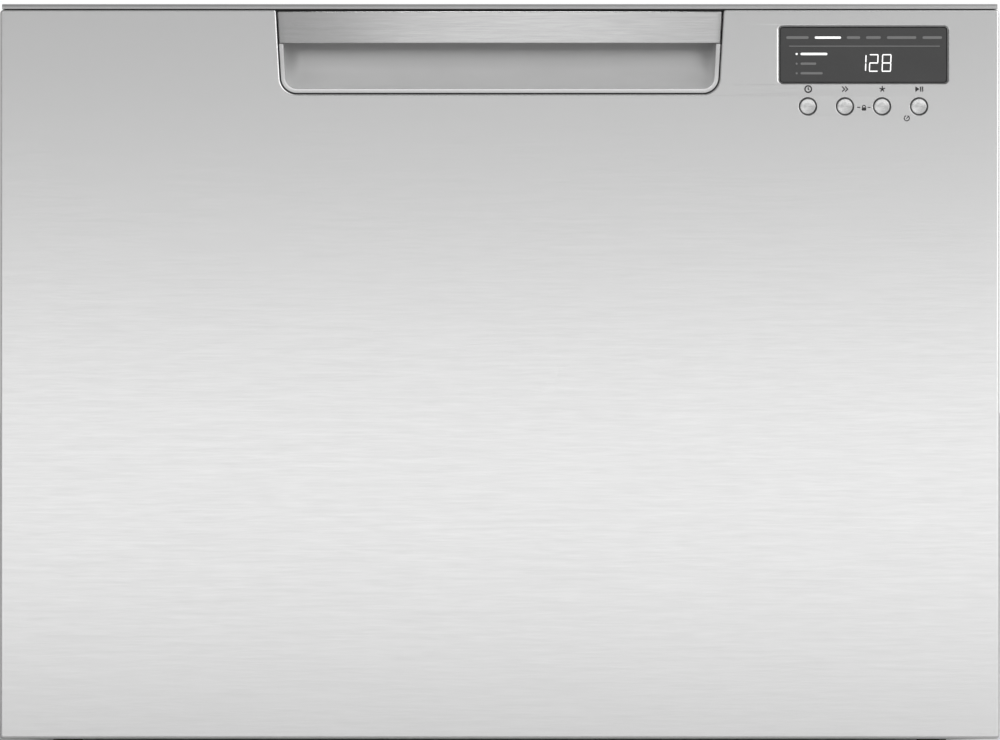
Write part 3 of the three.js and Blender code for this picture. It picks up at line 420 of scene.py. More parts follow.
def ranged(t, value, lo, hi, a=0.3, b=0.7):
    m = t.nodes.new("ShaderNodeMapRange")
    m.inputs["From Min"].default_value = a
    m.inputs["From Max"].default_value = b
    m.inputs["To Min"].default_value = lo
    m.inputs["To Max"].default_value = hi
    t.links.new(value, m.inputs["Value"])
    return m.outputs["Result"]


def calc(t, op, a, b=None):
    m = t.nodes.new("ShaderNodeMath")
    m.operation = op
    for i, x in enumerate((a, b)):
        if x is None:
            continue
        if isinstance(x, (int, float)):
            m.inputs[i].default_value = x
        else:
            t.links.new(x, m.inputs[i])
    return m.outputs[0]


def mix(t, fac, c1, c2):
    m = t.nodes.new("ShaderNodeMix")
    m.data_type = "RGBA"
    for sock, c in ((m.inputs[6], c1), (m.inputs[7], c2)):
        if isinstance(c, tuple):
            sock.default_value = (*c, 1.0)
        else:
            t.links.new(c, sock)
    if isinstance(fac, (int, float)):
        m.inputs[0].default_value = fac
    else:
        t.links.new(fac, m.inputs[0])
    return m.outputs[2]


def bump(t, b, height, distance, strength=1.0, after=None):
    n = t.nodes.new("ShaderNodeBump")
    n.inputs["Strength"].default_value = strength
    n.inputs["Distance"].default_value = distance
    t.links.new(height, n.inputs["Height"])
    if after is not None:
        t.links.new(after, n.inputs["Normal"])
    if b is not None:
        t.links.new(n.outputs["Normal"], b.inputs["Normal"])
    return n.outputs["Normal"]


def grey(v):
    return (v, v, v)


def shade(c, k):
    return tuple(min(1.0, x * k) for x in c)


def finish_of(
    name,
    color,
    rough,
    metal=0.0,
    tint=0.06,
    tint_scale=18.0,
    grain=0.00004,
    grain_scale=1400.0,
    rough_amount=0.07,
    stretch=(1, 1, 1),
    ior=1.45,
    coat=0.0,
    dust=0.0,
    sheen=0.0,
):
    """A moulded, cast or painted surface: slight colour drift, uneven gloss and a fine grain."""
    m, t, b = shader(name)
    vec = coords(t, stretch)
    broad = noise_of(t, vec, tint_scale, 5.0, 0.6)
    col = mix(t, ranged(t, broad, 0, 1), shade(color, 1 - tint), shade(color, 1 + tint))
    if dust:
        fine = noise_of(t, vec, tint_scale * 9, 6.0, 0.7)
        col = mix(t, ranged(t, fine, 0, dust, 0.5, 0.8), col, shade(color, 1.5))
    t.links.new(col, b.inputs["Base Color"])
    uneven = noise_of(t, vec, tint_scale * 3.3, 4.0, 0.65)
    t.links.new(ranged(t, uneven, rough - rough_amount, rough + rough_amount), b.inputs["Roughness"])
    b.inputs["Metallic"].default_value = metal
    b.inputs["IOR"].default_value = ior
    b.inputs["Coat Weight"].default_value = coat
    b.inputs["Coat Roughness"].default_value = 0.12
    b.inputs["Sheen Weight"].default_value = sheen
    bump(t, b, noise_of(t, vec, grain_scale, 3.0, 0.6), grain)
    return m


def brushed(name, level, rough, aniso, amount=0.05, along="X", fine=1500.0, tangent=None, lines=0.00001):
    """Brushed steel: streaks along one axis, the gloss spread across them."""
    m, t, b = shader(name)
    s = {"X": (60.0, 60.0, fine), "Y": (fine, 40.0, fine), "Z": (fine, fine, 40.0)}[along]
    k = {"X": (14.0, 14.0, fine * 0.33), "Y": (fine * 0.33, 12.0, fine * 0.33), "Z": (fine * 0.33, fine * 0.33, 12.0)}[along]
    a = noise_of(t, coords(t, s), 1.0, 2.0, 0.5)
    c = noise_of(t, coords(t, k), 1.0, 3.0, 0.55, 0.3)
    both = calc(t, "ADD", calc(t, "MULTIPLY", a, 0.55), calc(t, "MULTIPLY", c, 0.45))
    col = mix(t, ranged(t, both, 0, 1, 0.35, 0.65), grey(level * (1 - amount)), grey(level * (1 + amount)))
    t.links.new(col, b.inputs["Base Color"])
    t.links.new(ranged(t, both, rough + 0.012, rough - 0.012, 0.35, 0.65), b.inputs["Roughness"])
    b.inputs["Metallic"].default_value = 1.0
    b.inputs["Anisotropic"].default_value = aniso
    if tangent:
        v = t.nodes.new("ShaderNodeCombineXYZ")
        for i, x in enumerate(tangent):
            v.inputs[i].default_value = x
        t.links.new(v.outputs[0], b.inputs["Tangent"])
    if lines:
        bump(t, b, both, lines, 0.35)
    return m


def turned_metal(name, level, rough, centre, axis="Y"):
    """Face-turned metal: rings round the axis, so that its gloss spreads along the radius."""
    m, t, b = shader(name)
    c = t.nodes.new("ShaderNodeTexCoord")
    sub = t.nodes.new("ShaderNodeVectorMath")
    sub.operation = "SUBTRACT"
    t.links.new(c.outputs["Object"], sub.inputs[0])
    sub.inputs[1].default_value = tuple(x * MM for x in centre)
    flat = t.nodes.new("ShaderNodeVectorMath")
    flat.operation = "MULTIPLY"
    t.links.new(sub.outputs[0], flat.inputs[0])
    flat.inputs[1].default_value = {"X": (0, 1, 1), "Y": (1, 0, 1), "Z": (1, 1, 0)}[axis]
    length = t.nodes.new("ShaderNodeVectorMath")
    length.operation = "LENGTH"
    t.links.new(flat.outputs[0], length.inputs[0])
    n = t.nodes.new("ShaderNodeTexNoise")
    n.noise_dimensions = "1D"
    n.inputs["Scale"].default_value = 5200.0
    n.inputs["Detail"].default_value = 2.0
    t.links.new(length.outputs["Value"], n.inputs["W"])
    rings = n.outputs["Fac"]
    t.links.new(
        mix(t, ranged(t, rings, 0, 1), grey(level * 0.93), grey(level * 1.06)), b.inputs["Base Color"]
    )
    t.links.new(ranged(t, rings, rough + 0.05, rough - 0.05), b.inputs["Roughness"])
    b.inputs["Metallic"].default_value = 1.0
    b.inputs["Anisotropic"].default_value = 0.85
    nrm = t.nodes.new("ShaderNodeVectorMath")
    nrm.operation = "NORMALIZE"
    t.links.new(flat.outputs[0], nrm.inputs[0])
    t.links.new(nrm.outputs[0], b.inputs["Tangent"])
    bump(t, b, rings, 0.000006, 0.5)
    return m


def spangled(name, level, rough, cell=70.0, metal=0.9):
    """Hot-dip zinc: crystal flakes with their own brightness, and a fine rolled grain."""
    m, t, b = shader(name)
    vec = coords(t)
    warp = t.nodes.new("ShaderNodeVectorMath")
    warp.operation = "MULTIPLY_ADD"
    n = t.nodes.new("ShaderNodeTexNoise")
    n.inputs["Scale"].default_value = 90.0
    n.inputs["Detail"].default_value = 3.0
    t.links.new(vec, n.inputs["Vector"])
    t.links.new(n.outputs["Color"], warp.inputs[0])
    warp.inputs[1].default_value = (0.012, 0.012, 0.012)
    t.links.new(vec, warp.inputs[2])
    v = t.nodes.new("ShaderNodeTexVoronoi")
    v.inputs["Scale"].default_value = cell
    t.links.new(warp.outputs[0], v.inputs["Vector"])
    sep = t.nodes.new("ShaderNodeSeparateColor")
    t.links.new(v.outputs["Color"], sep.inputs[0])
    flake = sep.outputs[0]
    fine = noise_of(t, coords(t, (1, 1, 14)), 160.0, 5.0, 0.6)
    tone = calc(t, "ADD", calc(t, "MULTIPLY", flake, 0.5), calc(t, "MULTIPLY", fine, 0.5))
    t.links.new(
        mix(t, tone, shade((0.97, 0.99, 1.0), level * 0.9), shade((0.99, 1.0, 1.0), level * 1.08)),
        b.inputs["Base Color"],
    )
    t.links.new(ranged(t, sep.outputs[1], rough - 0.04, rough + 0.05, 0, 1), b.inputs["Roughness"])
    b.inputs["Metallic"].default_value = metal
    bump(t, b, fine, 0.00002)
    return m


def emitting(name, level, glow):
    m, t, b = shader(name)
    vec = coords(t)
    v = ranged(t, noise_of(t, vec, 900.0, 2.0), 0.92, 1.0)
    t.links.new(mix(t, v, grey(level * 0.9), grey(level)), b.inputs["Base Color"])
    b.inputs["Roughness"].default_value = 0.4
    b.inputs["Emission Color"].default_value = (1, 1, 1, 1)
    t.links.new(mix(t, v, grey(0.85), grey(1.0)), b.inputs["Emission Color"])
    b.inputs["Emission Strength"].default_value = glow
    return m


STEEL = brushed("brushed_stainless_front", 0.58, 0.255, 0.58, 0.02, "X", 1400.0, tangent=(0, 0, 1), lines=0.000004)
BAR = brushed("brushed_stainless_bar", 0.455, 0.23, 0.8, 0.05, "X", 1300.0, tangent=(0, 0, 1))
TRIM = brushed("satin_aluminium_trim", 0.60, 0.34, 0.4, 0.03, "X", 900.0, tangent=(0, 0, 1))
SCOOP = finish_of("silver_painted_recess", grey(0.575), 0.40, 0.35, 0.02, 14.0, 0.000012, 2600.0, 0.03)


def paint_shade_ramp(m, y0, y1, k, axis="Y"):
    """Painted shade: the surface's colour is darkened by k at y0 and is as it was at y1."""
    t = m.node_tree
    b = next(n for n in t.nodes if n.type == "BSDF_PRINCIPLED")
    src = b.inputs["Base Color"].links[0].from_socket
    c = t.nodes.new("ShaderNodeTexCoord")
    sp = t.nodes.new("ShaderNodeSeparateXYZ")
    t.links.new(c.outputs["Object"], sp.inputs[0])
    f = ranged(t, sp.outputs[axis], k, 1.0, y0 * MM, y1 * MM)
    v = t.nodes.new("ShaderNodeVectorMath")
    v.operation = "SCALE"
    t.links.new(src, v.inputs[0])
    t.links.new(f, v.inputs["Scale"])
    t.links.new(v.outputs[0], b.inputs["Base Color"])


# Painted shade on the recess: the rim and the first 3.6 mm of depth are darkened to 0.74 at the front, and the scoop is
# darkened to 0.8 from 418 mm up, fading out by 404 mm.
paint_shade_ramp(SCOOP, YF + 1.0, YF + 3.6, 0.74)
paint_shade_ramp(SCOOP, 418.0, 404.0, 0.8, "Z")
BEZEL = finish_of("satin_chrome_bezel", grey(0.5), 0.22, 0.9, 0.03, 30.0, 0.000006, 2000.0, 0.04)
LENS = finish_of("smoked_display_glass", grey(0.058), 0.16, 0.0, 0.05, 40.0, 0.000002, 900.0, 0.02, ior=1.5)
LIT = emitting("display_segment_lit", 0.8, 0.72)
DIM = emitting("display_segment_dim", 0.16, 0.03)
INK = finish_of("dark_grey_print", grey(0.03), 0.5, 0.0, 0.1, 300.0, 0.000004, 3000.0)
DARK = finish_of("black_moulding", grey(0.018), 0.5, 0.0, 0.15, 25.0, 0.00003, 1600.0)
MODULE = finish_of("grey_abs_housing", grey(0.16), 0.5, 0.0, 0.08, 22.0)
CARRIER = finish_of("grey_polypropylene", grey(0.27), 0.52, 0.0, 0.05, 12.0, 0.00004, 1500.0)
FELT = finish_of("pressed_bitumen_felt", grey(0.035), 0.95, 0.0, 0.35, 260.0, 0.0004, 700.0, 0.03, sheen=0.3)
TUB = finish_of("pale_grey_tub_polymer", (0.56, 0.58, 0.60), 0.38, 0.0, 0.03, 8.0, 0.00002, 1800.0, 0.05)
LID = finish_of("pale_grey_lid_polymer", (0.63, 0.65, 0.66), 0.42, 0.0, 0.03, 8.0, 0.00003, 1500.0, 0.05)
SEAL = finish_of("grey_rubber_seal", grey(0.12), 0.72, 0.0, 0.12, 60.0, 0.00005, 1100.0)
MOTOR = finish_of("black_motor_shell", grey(0.030), 0.42, 0.2, 0.2, 40.0, 0.00003, 1300.0)
WHITE = finish_of("white_nylon", (0.70, 0.71, 0.70), 0.42, 0.0, 0.04, 30.0, 0.00002, 1700.0)
FILTER = finish_of("grey_filter_polymer", (0.11, 0.125, 0.14), 0.46, 0.0, 0.1, 25.0, 0.00003, 1500.0)
ARM = finish_of("grey_spray_arm_polymer", (0.20, 0.22, 0.24), 0.42, 0.0, 0.07, 18.0, 0.00002, 1700.0)
BASKET = finish_of("slate_basket_polymer", (0.155, 0.17, 0.185), 0.48, 0.0, 0.08, 30.0, 0.00003, 1500.0)
WIRE = finish_of("grey_nylon_coated_wire", (0.27, 0.29, 0.31), 0.33, 0.0, 0.06, 60.0, 0.00003, 700.0, 0.05, coat=0.25)
ZINC = finish_of("bright_zinc_plate", (0.55, 0.56, 0.57), 0.30, 1.0, 0.09, 45.0, 0.00002, 900.0, 0.09)
GALV = spangled("galvanised_sheet", 0.64, 0.44, 150.0, 0.85)
RUNNER = finish_of("rolled_runner_steel", (0.52, 0.53, 0.55), 0.28, 1.0, 0.08, 30.0, 0.00002, 700.0, 0.08, (1, 0.05, 1))
SHEATH = finish_of("heat_tinted_element_sheath", (0.38, 0.36, 0.33), 0.34, 1.0, 0.16, 50.0, 0.00002, 900.0, 0.08)
BRASS = finish_of("turned_brass", (0.60, 0.44, 0.18), 0.26, 1.0, 0.08, 90.0, 0.00002, 900.0, 0.07)
COPPER = finish_of("lacquered_copper_winding", (0.42, 0.17, 0.07), 0.34, 0.9, 0.15, 300.0, 0.00003, 1500.0, 0.06)
TRAY = finish_of("recycled_black_tray", grey(0.026), 0.60, 0.0, 0.2, 20.0, 0.00006, 1100.0)
FOOT = finish_of("black_glass_filled_nylon", grey(0.022), 0.55, 0.0, 0.2, 60.0, 0.00005, 1200.0)
HOSE_GREY = finish_of("grey_hose", (0.30, 0.31, 0.32), 0.5, 0.0, 0.08, 60.0, 0.00003, 900.0)
HOSE_WHITE = finish_of("milky_hose", (0.62, 0.63, 0.62), 0.35, 0.0, 0.05, 60.0, 0.00002, 900.0)
LOOM = finish_of("black_wiring_sleeve", grey(0.02), 0.6, 0.0, 0.2, 200.0, 0.00008, 1800.0)
SCREW = finish_of("zinc_screw_head", (0.50, 0.50, 0.49), 0.3, 1.0, 0.1, 120.0, 0.00001, 1400.0)


# ================================================================== drawer front
NOTCH_Z, NOTCH_R, NOTCH_BOT, NOTCH_TOP = 400.0, 10.0, 131.8, 134.1
SLOPE = (NOTCH_TOP - NOTCH_BOT) / (450.0 - (NOTCH_Z + NOTCH_R))
DISP = (218.0, 423.5)
BUTTONS = [("delay", 184.7), ("program", 206.9), ("option", 229.1), ("start", 251.3)]
BUTTON_Z = 392.6


def half_width(z, e):
    """Half width of the recess outline, shrunk by e, at height z."""
    r = max(NOTCH_R - e, 1.0)
    z0 = NOTCH_Z + e
    if z >= z0 + r:
        return NOTCH_BOT - e + SLOPE * (z - (NOTCH_Z + NOTCH_R))
    xc = NOTCH_BOT - e + SLOPE * (z0 + r - (NOTCH_Z + NOTCH_R)) - r
    d = z0 + r - z
    return xc + math.sqrt(max(r * r - d * d, 0.0))


def notch_path(e, top, n=10, step=6.0):
    """The recess outline from the top left, down, along and up to the top right."""
    r = max(NOTCH_R - e, 1.0)
    z0 = NOTCH_Z + e
    at = lambda z: NOTCH_BOT - e + SLOPE * (z - (NOTCH_Z + NOTCH_R))
    xc = at(z0 + r) - r
    side = []
    m = max(2, int((top - z0 - r) / step))
    for k in range(m + 1):
        z = top + (z0 + r - top) * k / m
        side.append((at(z), z))
    for k in range(1, n + 1):
        a = math.pi / 2 * k / n
        side.append((xc + r * math.cos(a), z0 + r - r * math.sin(a)))
    return [Vector((-x, z)) for x, z in side] + [Vector((x, z)) for x, z in reversed(side)]


# ---- folded stainless skin, with rolled edges all round and dished button holes
b = Build()
path = notch_path(0.0, 450.5, 10, 8.0)
corner_l, corner_r = path[0], path[-1]
TOP = 450.5
raw = [Vector((-299.5, 13.4)), Vector((299.5, 13.4)), Vector((299.5, TOP))]
raw += [p.copy() for p in reversed(path)]
raw += [Vector((-299.5, TOP))]
radii = [2.2, 2.2, 2.2] + [1.5] + [0] * (len(path) - 2) + [1.5] + [2.2]
outline, edge_r, depth = [], [], []
fl = fillet(raw, radii, 6)
fl = ccw(fl)
for p in fl:
    on_notch = abs(p.x) < 136.0 and p.y < 449.2 and p.y > 399.0
    outline.append(p)
    edge_r.append(1.15 if on_notch else 1.1 if p.y > 449.2 else 1.7)
    depth.append(3.2 if on_notch or (abs(p.x) < 135.4 and p.y > 399) else 23.9)
# soften the change of edge radius round the notch's top corners
for _ in range(3):
    edge_r = [(edge_r[i - 1] + edge_r[i] * 2 + edge_r[(i + 1) % len(edge_r)]) / 4 for i in range(len(edge_r))]
loops = []
N = 6
for k in range(N + 1):
    a = math.pi / 2 * k / N
    q = inset(outline, [r * (1 - math.sin(a)) for r in edge_r])
    loops.append([(p.x, SKIN_Y + r * (1 - math.cos(a)), p.y) for p, r in zip(q, edge_r)])
face_loop = loops[0]
q0, q1, q2 = inset(outline, 0.0), inset(outline, 0.15), inset(outline, 0.85)
loops.append([(p.x, SKIN_Y + d - 0.15, p.y) for p, d in zip(q0, depth)])
loops.append([(p.x, SKIN_Y + d, p.y) for p, d in zip(q1, depth)])
loops.append([(p.x, SKIN_Y + d, p.y) for p, d in zip(q2, depth)])
q3 = inset(outline, 1.0)
loops.append([(p.x, SKIN_Y + d - 0.15, p.y) for p, d in zip(q3, depth)])
loops.append([(p.x, SKIN_Y + 1.0 + 0.8, p.y) for p in q3])
q4 = inset(outline, 1.7)
loops.append([(p.x, SKIN_Y + 1.0, p.y) for p in q4])
back_loop = loops[-1]
b.rows(loops, True)
front_holes, back_holes = [], []


def hole(loop, dish, d):
    """A hole through the 1 mm skin whose front edge is dished by dish wide, d deep."""
    l = ccw(loop)
    n = 5
    rows = []
    dish = dish(l) if callable(dish) else [dish] * len(l)
    for k in range(n + 1):
        a = math.pi / 2 * k / n
        rows.append([(p.x, SKIN_Y + d * (1 - math.cos(a)), p.y) for p in inset(l, [-w * (1 - math.sin(a)) for w in dish])])
    rows.append([(p.x, SKIN_Y + 1.0, p.y) for p in l])
    b.rows(rows, True)
    front_holes.append(rows[0])
    back_holes.append(rows[-1])


def window_edge(l):
    """The window's pressed edge is widest at its left side and narrow below."""
    w = [1.5 if p.x < DISP[0] - 50.6 else 0.9 if p.x > DISP[0] + 50.6 else 0.55 if p.y > DISP[1] else 0.4 for p in l]
    for _ in range(2):
        w = [(w[i - 1] + 2 * w[i] + w[(i + 1) % len(w)]) / 4 for i in range(len(w))]
    return w


hole(rect(DISP[0] - 50.9, DISP[0] + 50.9, DISP[1] - 17.4, DISP[1] + 17.4, 2.6, 8), window_edge, 0.6)
for _, x in BUTTONS:
    hole(ring(x, BUTTON_Z, 5.4, 64), 0.4, 0.5)
b.fill(face_loop, *front_holes)
b.fill(back_loop, *back_holes)
make("front_skin", b, STEEL, "front_panel", stands_for=("front_panel",), angle=40)

# ---- trim strip along the top edge
b = Build()
prof = fillet(
    [(YF + 0.3, 451.0), (YF + 0.3, 452.35), (YF + 1.3, 453.7), (YF + 2.4, 453.98), (-257.2, 453.98), (-257.2, 451.0)],
    [0.2, 0.35, 0.5, 0.5, 0.3, 0.2],
    4,
)
n, L = 4, 298.3
rows = []
for s in (-1, 1):
    part = []
    for k in range(n + 1):
        a = math.pi / 2 * k / n
        part.append([(s * (L - 0.9 * (1 - math.sin(a))), p.x, p.y) for p in inset(ccw(prof), 0.55 * (1 - math.cos(math.pi / 2 - a)))])
    rows.extend(part if s < 0 else reversed(part))
b.loft(rows)
make("top_trim_strip", b, TRIM, "top_trim", stands_for=("top_trim",))

# ---- hand recess: a smooth drawn scoop with a narrow bright rim
b = Build()
RIM_Y = YF + 0.75
E_IN = 3.25  # inner edge of the rim
TOP_IN = 447.4


def scoop_depth(x, z):
    """Depth of the scoop's surface behind its rim plane."""
    side = half_width(z, E_IN) - abs(x)
    t = min(max(side / 13.0, 0.0), 1.0)
    fs = (1 - (1 - t) ** 2.4) ** (1 / 2.4)
    h = z - (NOTCH_Z + E_IN)
    t = min(max(h / 30.0, 0.0), 1.0)
    fb = (1 - (1 - t) ** 2.3) ** (1 / 2.3)
    t = min(max((TOP_IN - z) / 6.0, 0.0), 1.0)
    ft = 1.0 if t >= 1 else 0.72 + 0.28 * (1 - (1 - t) ** 2) ** 0.5
    lo = 4.4 if z > 430.2 else 0.0
    return max(22.8 * fs * fb * ft, lo)


zs = []
r_in = NOTCH_R - E_IN
for k in range(9):
    zs.append(NOTCH_Z + E_IN + r_in * (1 - math.cos(math.pi / 2 * k / 8)))
while zs[-1] < 429.0:
    zs.append(zs[-1] + 1.5)
zs += [430.1, 430.3, 432.5, 435, 437.5, 440, 441.5, 442.6, 443.8, 444.8, 445.7, 446.4, 447.0, TOP_IN]
ts = []
for k in range(-44, 45):
    u = abs(k) / 44
    ts.append(math.copysign(1 - (1 - u) ** 2.2, k))
grid = []
for z in zs:
    w = half_width(z, E_IN)
    grid.append([(w * t, RIM_Y + 0.35 + scoop_depth(w * t, z), z) for t in ts])
b.rows(grid)
low = [i for i, z in enumerate(zs) if z <= 430.15]
left = [grid[i][0] for i in reversed(low)]
right = [grid[i][-1] for i in low]
edge = left + grid[0][1:-1] + right  # inner edge of the rim, from the left top round to the right top
P = [Vector((p[0], p[2])) for p in edge]


def outward(path, d):
    """A U-shaped open path moved outwards, down and to the sides."""
    out = []
    for i, p in enumerate(path):
        a, c = path[max(i - 1, 0)], path[min(i + 1, len(path) - 1)]
        t = (c - a).normalized()
        out.append(p + Vector((t.y, -t.x)) * d)
    return out


RIM_W = 2.6
steps = [(0.0, 0.35), (0.12, 0.16), (0.4, 0.03), (0.75, 0.0), (RIM_W - 0.3, 0.0), (RIM_W - 0.1, 0.06), (RIM_W, 0.2), (RIM_W, 4.75)]
rim = []
for d, y in steps:
    q = outward(P, d)
    rim.append([(p.x, RIM_Y + y, p.y) for p in q])
b.rows(rim)
# set-back frame behind the bar, the outer wall and the back
up = [i for i, z in enumerate(zs) if z >= 430.25]
ZY = RIM_Y + 0.35 + 4.4
outer_e = E_IN - RIM_W
o_top = [Vector((half_width(z, outer_e), z)) for z in (440.0, 449.6)]
left_up = [Vector((-p.x, p.y)) for p in o_top]
outer_loop = [Vector((p[0], p[2])) for p in rim[-1]]
FO = list(reversed(left_up)) + outer_loop + o_top
FO = ccw(FO)
b.rows([[(p.x, ZY, p.y) for p in FO], [(p.x, -261.0, p.y) for p in FO], [(p.x, -260.4, p.y) for p in inset(FO, 0.6)]], True)
b.fill([(p.x, -260.4, p.y) for p in inset(FO, 0.6)])
# the ceiling behind the bar, the ends of the rim and the band round the hollow
b.rows([grid[-1], [(p[0], ZY, p[2]) for p in grid[-1]]])
for e in (0, -1):
    b.fill([r[e] for r in rim] + [grid[up[0]][e]])
inner = [Vector((grid[i][-1][0], zs[i])) for i in up[:-1]]
inner += [Vector((p[0], p[2])) for p in reversed(grid[-1])]
inner += [Vector((grid[i][0][0], zs[i])) for i in reversed(up[:-1])]
b.fill([(p.x, ZY, p.y) for p in [outer_loop[0]] + left_up + o_top[::-1] + [outer_loop[-1]] + inner])
make("hand_recess", b, SCOOP, "handle_recess", stands_for=("handle_recess",), angle=50, weight=False)

# ---- stainless grip bar across the recess, very slightly bowed
b = Build()
z0, z1 = 430.6, 449.65
prof = fillet([(0, z0), (3.0, z0), (3.0, z1), (0, z1)], [0.35, 0.5, 0.5, 0.9], 5)
prof = ccw(prof)
cols = []
M = 72
ends = [0.0, 0.15, 0.4, 0.75]
for j in range(M + 1):
    cols.append((-1 + 2 * j / M, 0.0, 0.0))
cols = [(-1, 0.0, 0.55), (-1, 0.2, 0.2), (-1, 0.6, 0.0)] + cols[1:-1] + [(1, -0.6, 0.0), (1, -0.2, 0.2), (1, 0.0, 0.55)]
loops = []
for t, dx, sh in cols:
    l = []
    for p in inset(prof, sh):
        w = NOTCH_BOT - 1.0 + SLOPE * (p.y - (NOTCH_Z + NOTCH_R))
        x = t * w + dx
        l.append((x, SKIN_Y + 0.9 * (x / 136.0) ** 2 + p.x, p.y))
    loops.append(l)
b.loft(loops)
make("grip_bar", b, BAR, "handle_bar", stands_for=("handle_bar",), angle=50)

# ---- control module: sloped bezel in the window, housing and button guides behind
b = Build()
cx, cz = DISP
prof = [(50.72, 17.22, 2.42, 3.9), (50.72, 17.22, 2.42, 0.75), (50.62, 17.12, 2.35, 0.45), (50.45, 16.95, 2.2, 0.42), (49.98, 16.48, 1.9, 1.25), (49.95, 16.45, 1.87, 3.9)]
rows = [
    [(p.x, YF + y, p.y) for p in rect(cx - w, cx + w, cz - h, cz + h, r, 8)] for w, h, r, y in prof
]
rows.append(rows[0])
b.rows(rows, True)
make("display_bezel", b, BEZEL, "control_module", stands_for=("control_module",), angle=50)
b = Build()
b.slab(rect(cx - 54, cx + 54, cz - 20, cz + 20, 3, 5), YF + 3.2, YF + 4.4, XZ, 0.3, 2)
b.slab(rect(160, 276, 378, 446, 5, 5), YF + 4.4, -262.8, XZ, 0.8, 3, [ring(x, BUTTON_Z, 3.1, 32) for _, x in BUTTONS], 0.3)
for x in (168, 190, 212, 234, 256):
    b.box(x, x + 1.6, -263.4, -262.6, 386, 438, 0.3)
for _, x in BUTTONS:
    b.lathe([(3.1, 0), (5.2, 0), (5.2, 3), (3.1, 3)], 32, (x, -264.2, BUTTON_Z), "Y", 0.3, 2, True)
make("control_housing", b, MODULE, "control_module")

# ---- display window and what shows in it
b = Build()
b.slab(rect(cx - 49.8, cx + 49.8, cz - 16.3, cz + 16.3, 1.6, 8), YF + 0.9, YF + 3.1, XZ, 0.25, 3)
make("display_glass", b, LENS, "display_lens", stands_for=("display_lens",))


def px(x, y):
    """A place on the front, from its column and row in a front view 1000 wide."""
    return (x - 499.75) * 0.5993, 454.0 - (y - 3.9) * 0.5993


def mark(b, outline, y0, t=0.03, holes=()):
    """A thin flat mark standing t proud of the plane y0."""
    ol = ccw(outline)
    hl = [ccw(h) for h in holes]
    f = [[(p.x, y0 - t, p.y) for p in ol]] + [[(p.x, y0 - t, p.y) for p in h] for h in hl]
    k = [[(p.x, y0, p.y) for p in ol]] + [[(p.x, y0, p.y) for p in h] for h in hl]
    for u, w in zip(f, k):
        b.rows([u, w], True)
    b.fill(*f)
    b.fill(*k)


def pill(b, x0, x1, y0, y1, plane, share=1.0):
    (xa, za), (xb, zb) = px(x0, y1), px(x1, y0)
    mark(b, rect(xa, xb, za, zb, (zb - za) / 2 * share * 0.98, 4), plane)


G = YF + 0.9
lit, dim = Build(), Build()
for i, (x0, x1) in enumerate([(786.3, 808.7), (814.8, 841.1), (846.9, 860.3), (866.1, 880.9), (887.0, 916.4), (922.6, 942.1)]):
    pill(lit if i == 1 else dim, x0, x1, 36.45 if i == 1 else 36.15, 38.6 if i == 1 else 38.85, G)
pill(dim, 789, 940, 45.6, 46.5, G)
for i, (y, x1) in enumerate([(53.9, 827.4), (63.6, 816.3), (73.2, 822.8)]):
    t = lit if i == 0 else dim
    X, Z = px(796.7, y)
    mark(t, ring(X, Z, 0.62, 20), G)
    pill(t, 800.6, x1, y - 1.15, y + 1.15, G)


def digit(b, x0, x1, y0, y1, segments, lean=0.035):
    """A seven-segment numeral, leaning a little to the right."""
    (xa, za), (xb, zb) = px(x0, y1), px(x1, y0)
    t, g = 0.66, 0.12
    zm = (za + zb) / 2

    def put(pts):
        mark(b, fillet([(x + (z - zm) * lean, z) for x, z in pts], 0.12, 2), G)

    def across(z, s):
        h = t / 2
        z = z - s * h if s else z
        put([(xa + g, z), (xa + g + h, z + h), (xb - g - h, z + h), (xb - g, z), (xb - g - h, z - h), (xa + g + h, z - h)])

    def upright(x, s, zl, zh):
        h = t / 2
        x = x + s * h
        put([(x, zl + g), (x + h, zl + g + h), (x + h, zh - g - h), (x, zh - g), (x - h, zh - g - h), (x - h, zl + g + h)])

    if "a" in segments:
        across(zb, 1)
    if "g" in segments:
        across(zm, 0)
    if "d" in segments:
        across(za, -1)
    if "f" in segments:
        upright(xa, 1, zm, zb - t / 2)
    if "b" in segments:
        upright(xb, -1, zm, zb - t / 2)
    if "e" in segments:
        upright(xa, 1, za + t / 2, zm)
    if "c" in segments:
        upright(xb, -1, za + t / 2, zm)


digit(lit, 857.6, 866.4, 54.1, 71.7, "bc")
digit(lit, 869.2, 878.4, 54.1, 71.7, "abged")
digit(lit, 881.9, 891.4, 54.1, 71.7, "abcdefg")
make("display_lit_marks", lit, LIT, "display_lens", weight=False)
make("display_dim_marks", dim, DIM, "display_lens", weight=False)

# ---- printed signs by the buttons: a clock, chevrons, a star, play and pause, a lock
b = Build()
P0 = SKIN_Y


def stroke(b, pts, w, closed=False):
    """A line of width w on the front."""
    pts = [Vector(p) for p in pts]
    w *= 1.6
    for i in range(len(pts) if closed else len(pts) - 1):
        p, q = pts[i], pts[(i + 1) % len(pts)]
        d = (q - p).normalized()
        n = Vector((-d.y, d.x)) * (w / 2)
        e = d * (w * 0.35)
        mark(b, [p - n - e, q - n + e, q + n + e, p + n - e], P0, 0.02)


def band_ring(b, X, Z, r, w, n=36, a0=0.0, a1=360.0):
    w *= 1.6
    if a1 - a0 >= 359:
        mark(b, ring(X, Z, r + w / 2, n), P0, 0.02, [ring(X, Z, r - w / 2, n)])
        return
    A = [math.radians(a0 + (a1 - a0) * k / n) for k in range(n + 1)]
    pts = [(X + (r + w / 2) * math.cos(a), Z + (r + w / 2) * math.sin(a)) for a in A]
    pts += [(X + (r - w / 2) * math.cos(a), Z + (r - w / 2) * math.sin(a)) for a in reversed(A)]
    mark(b, pts, P0, 0.02)


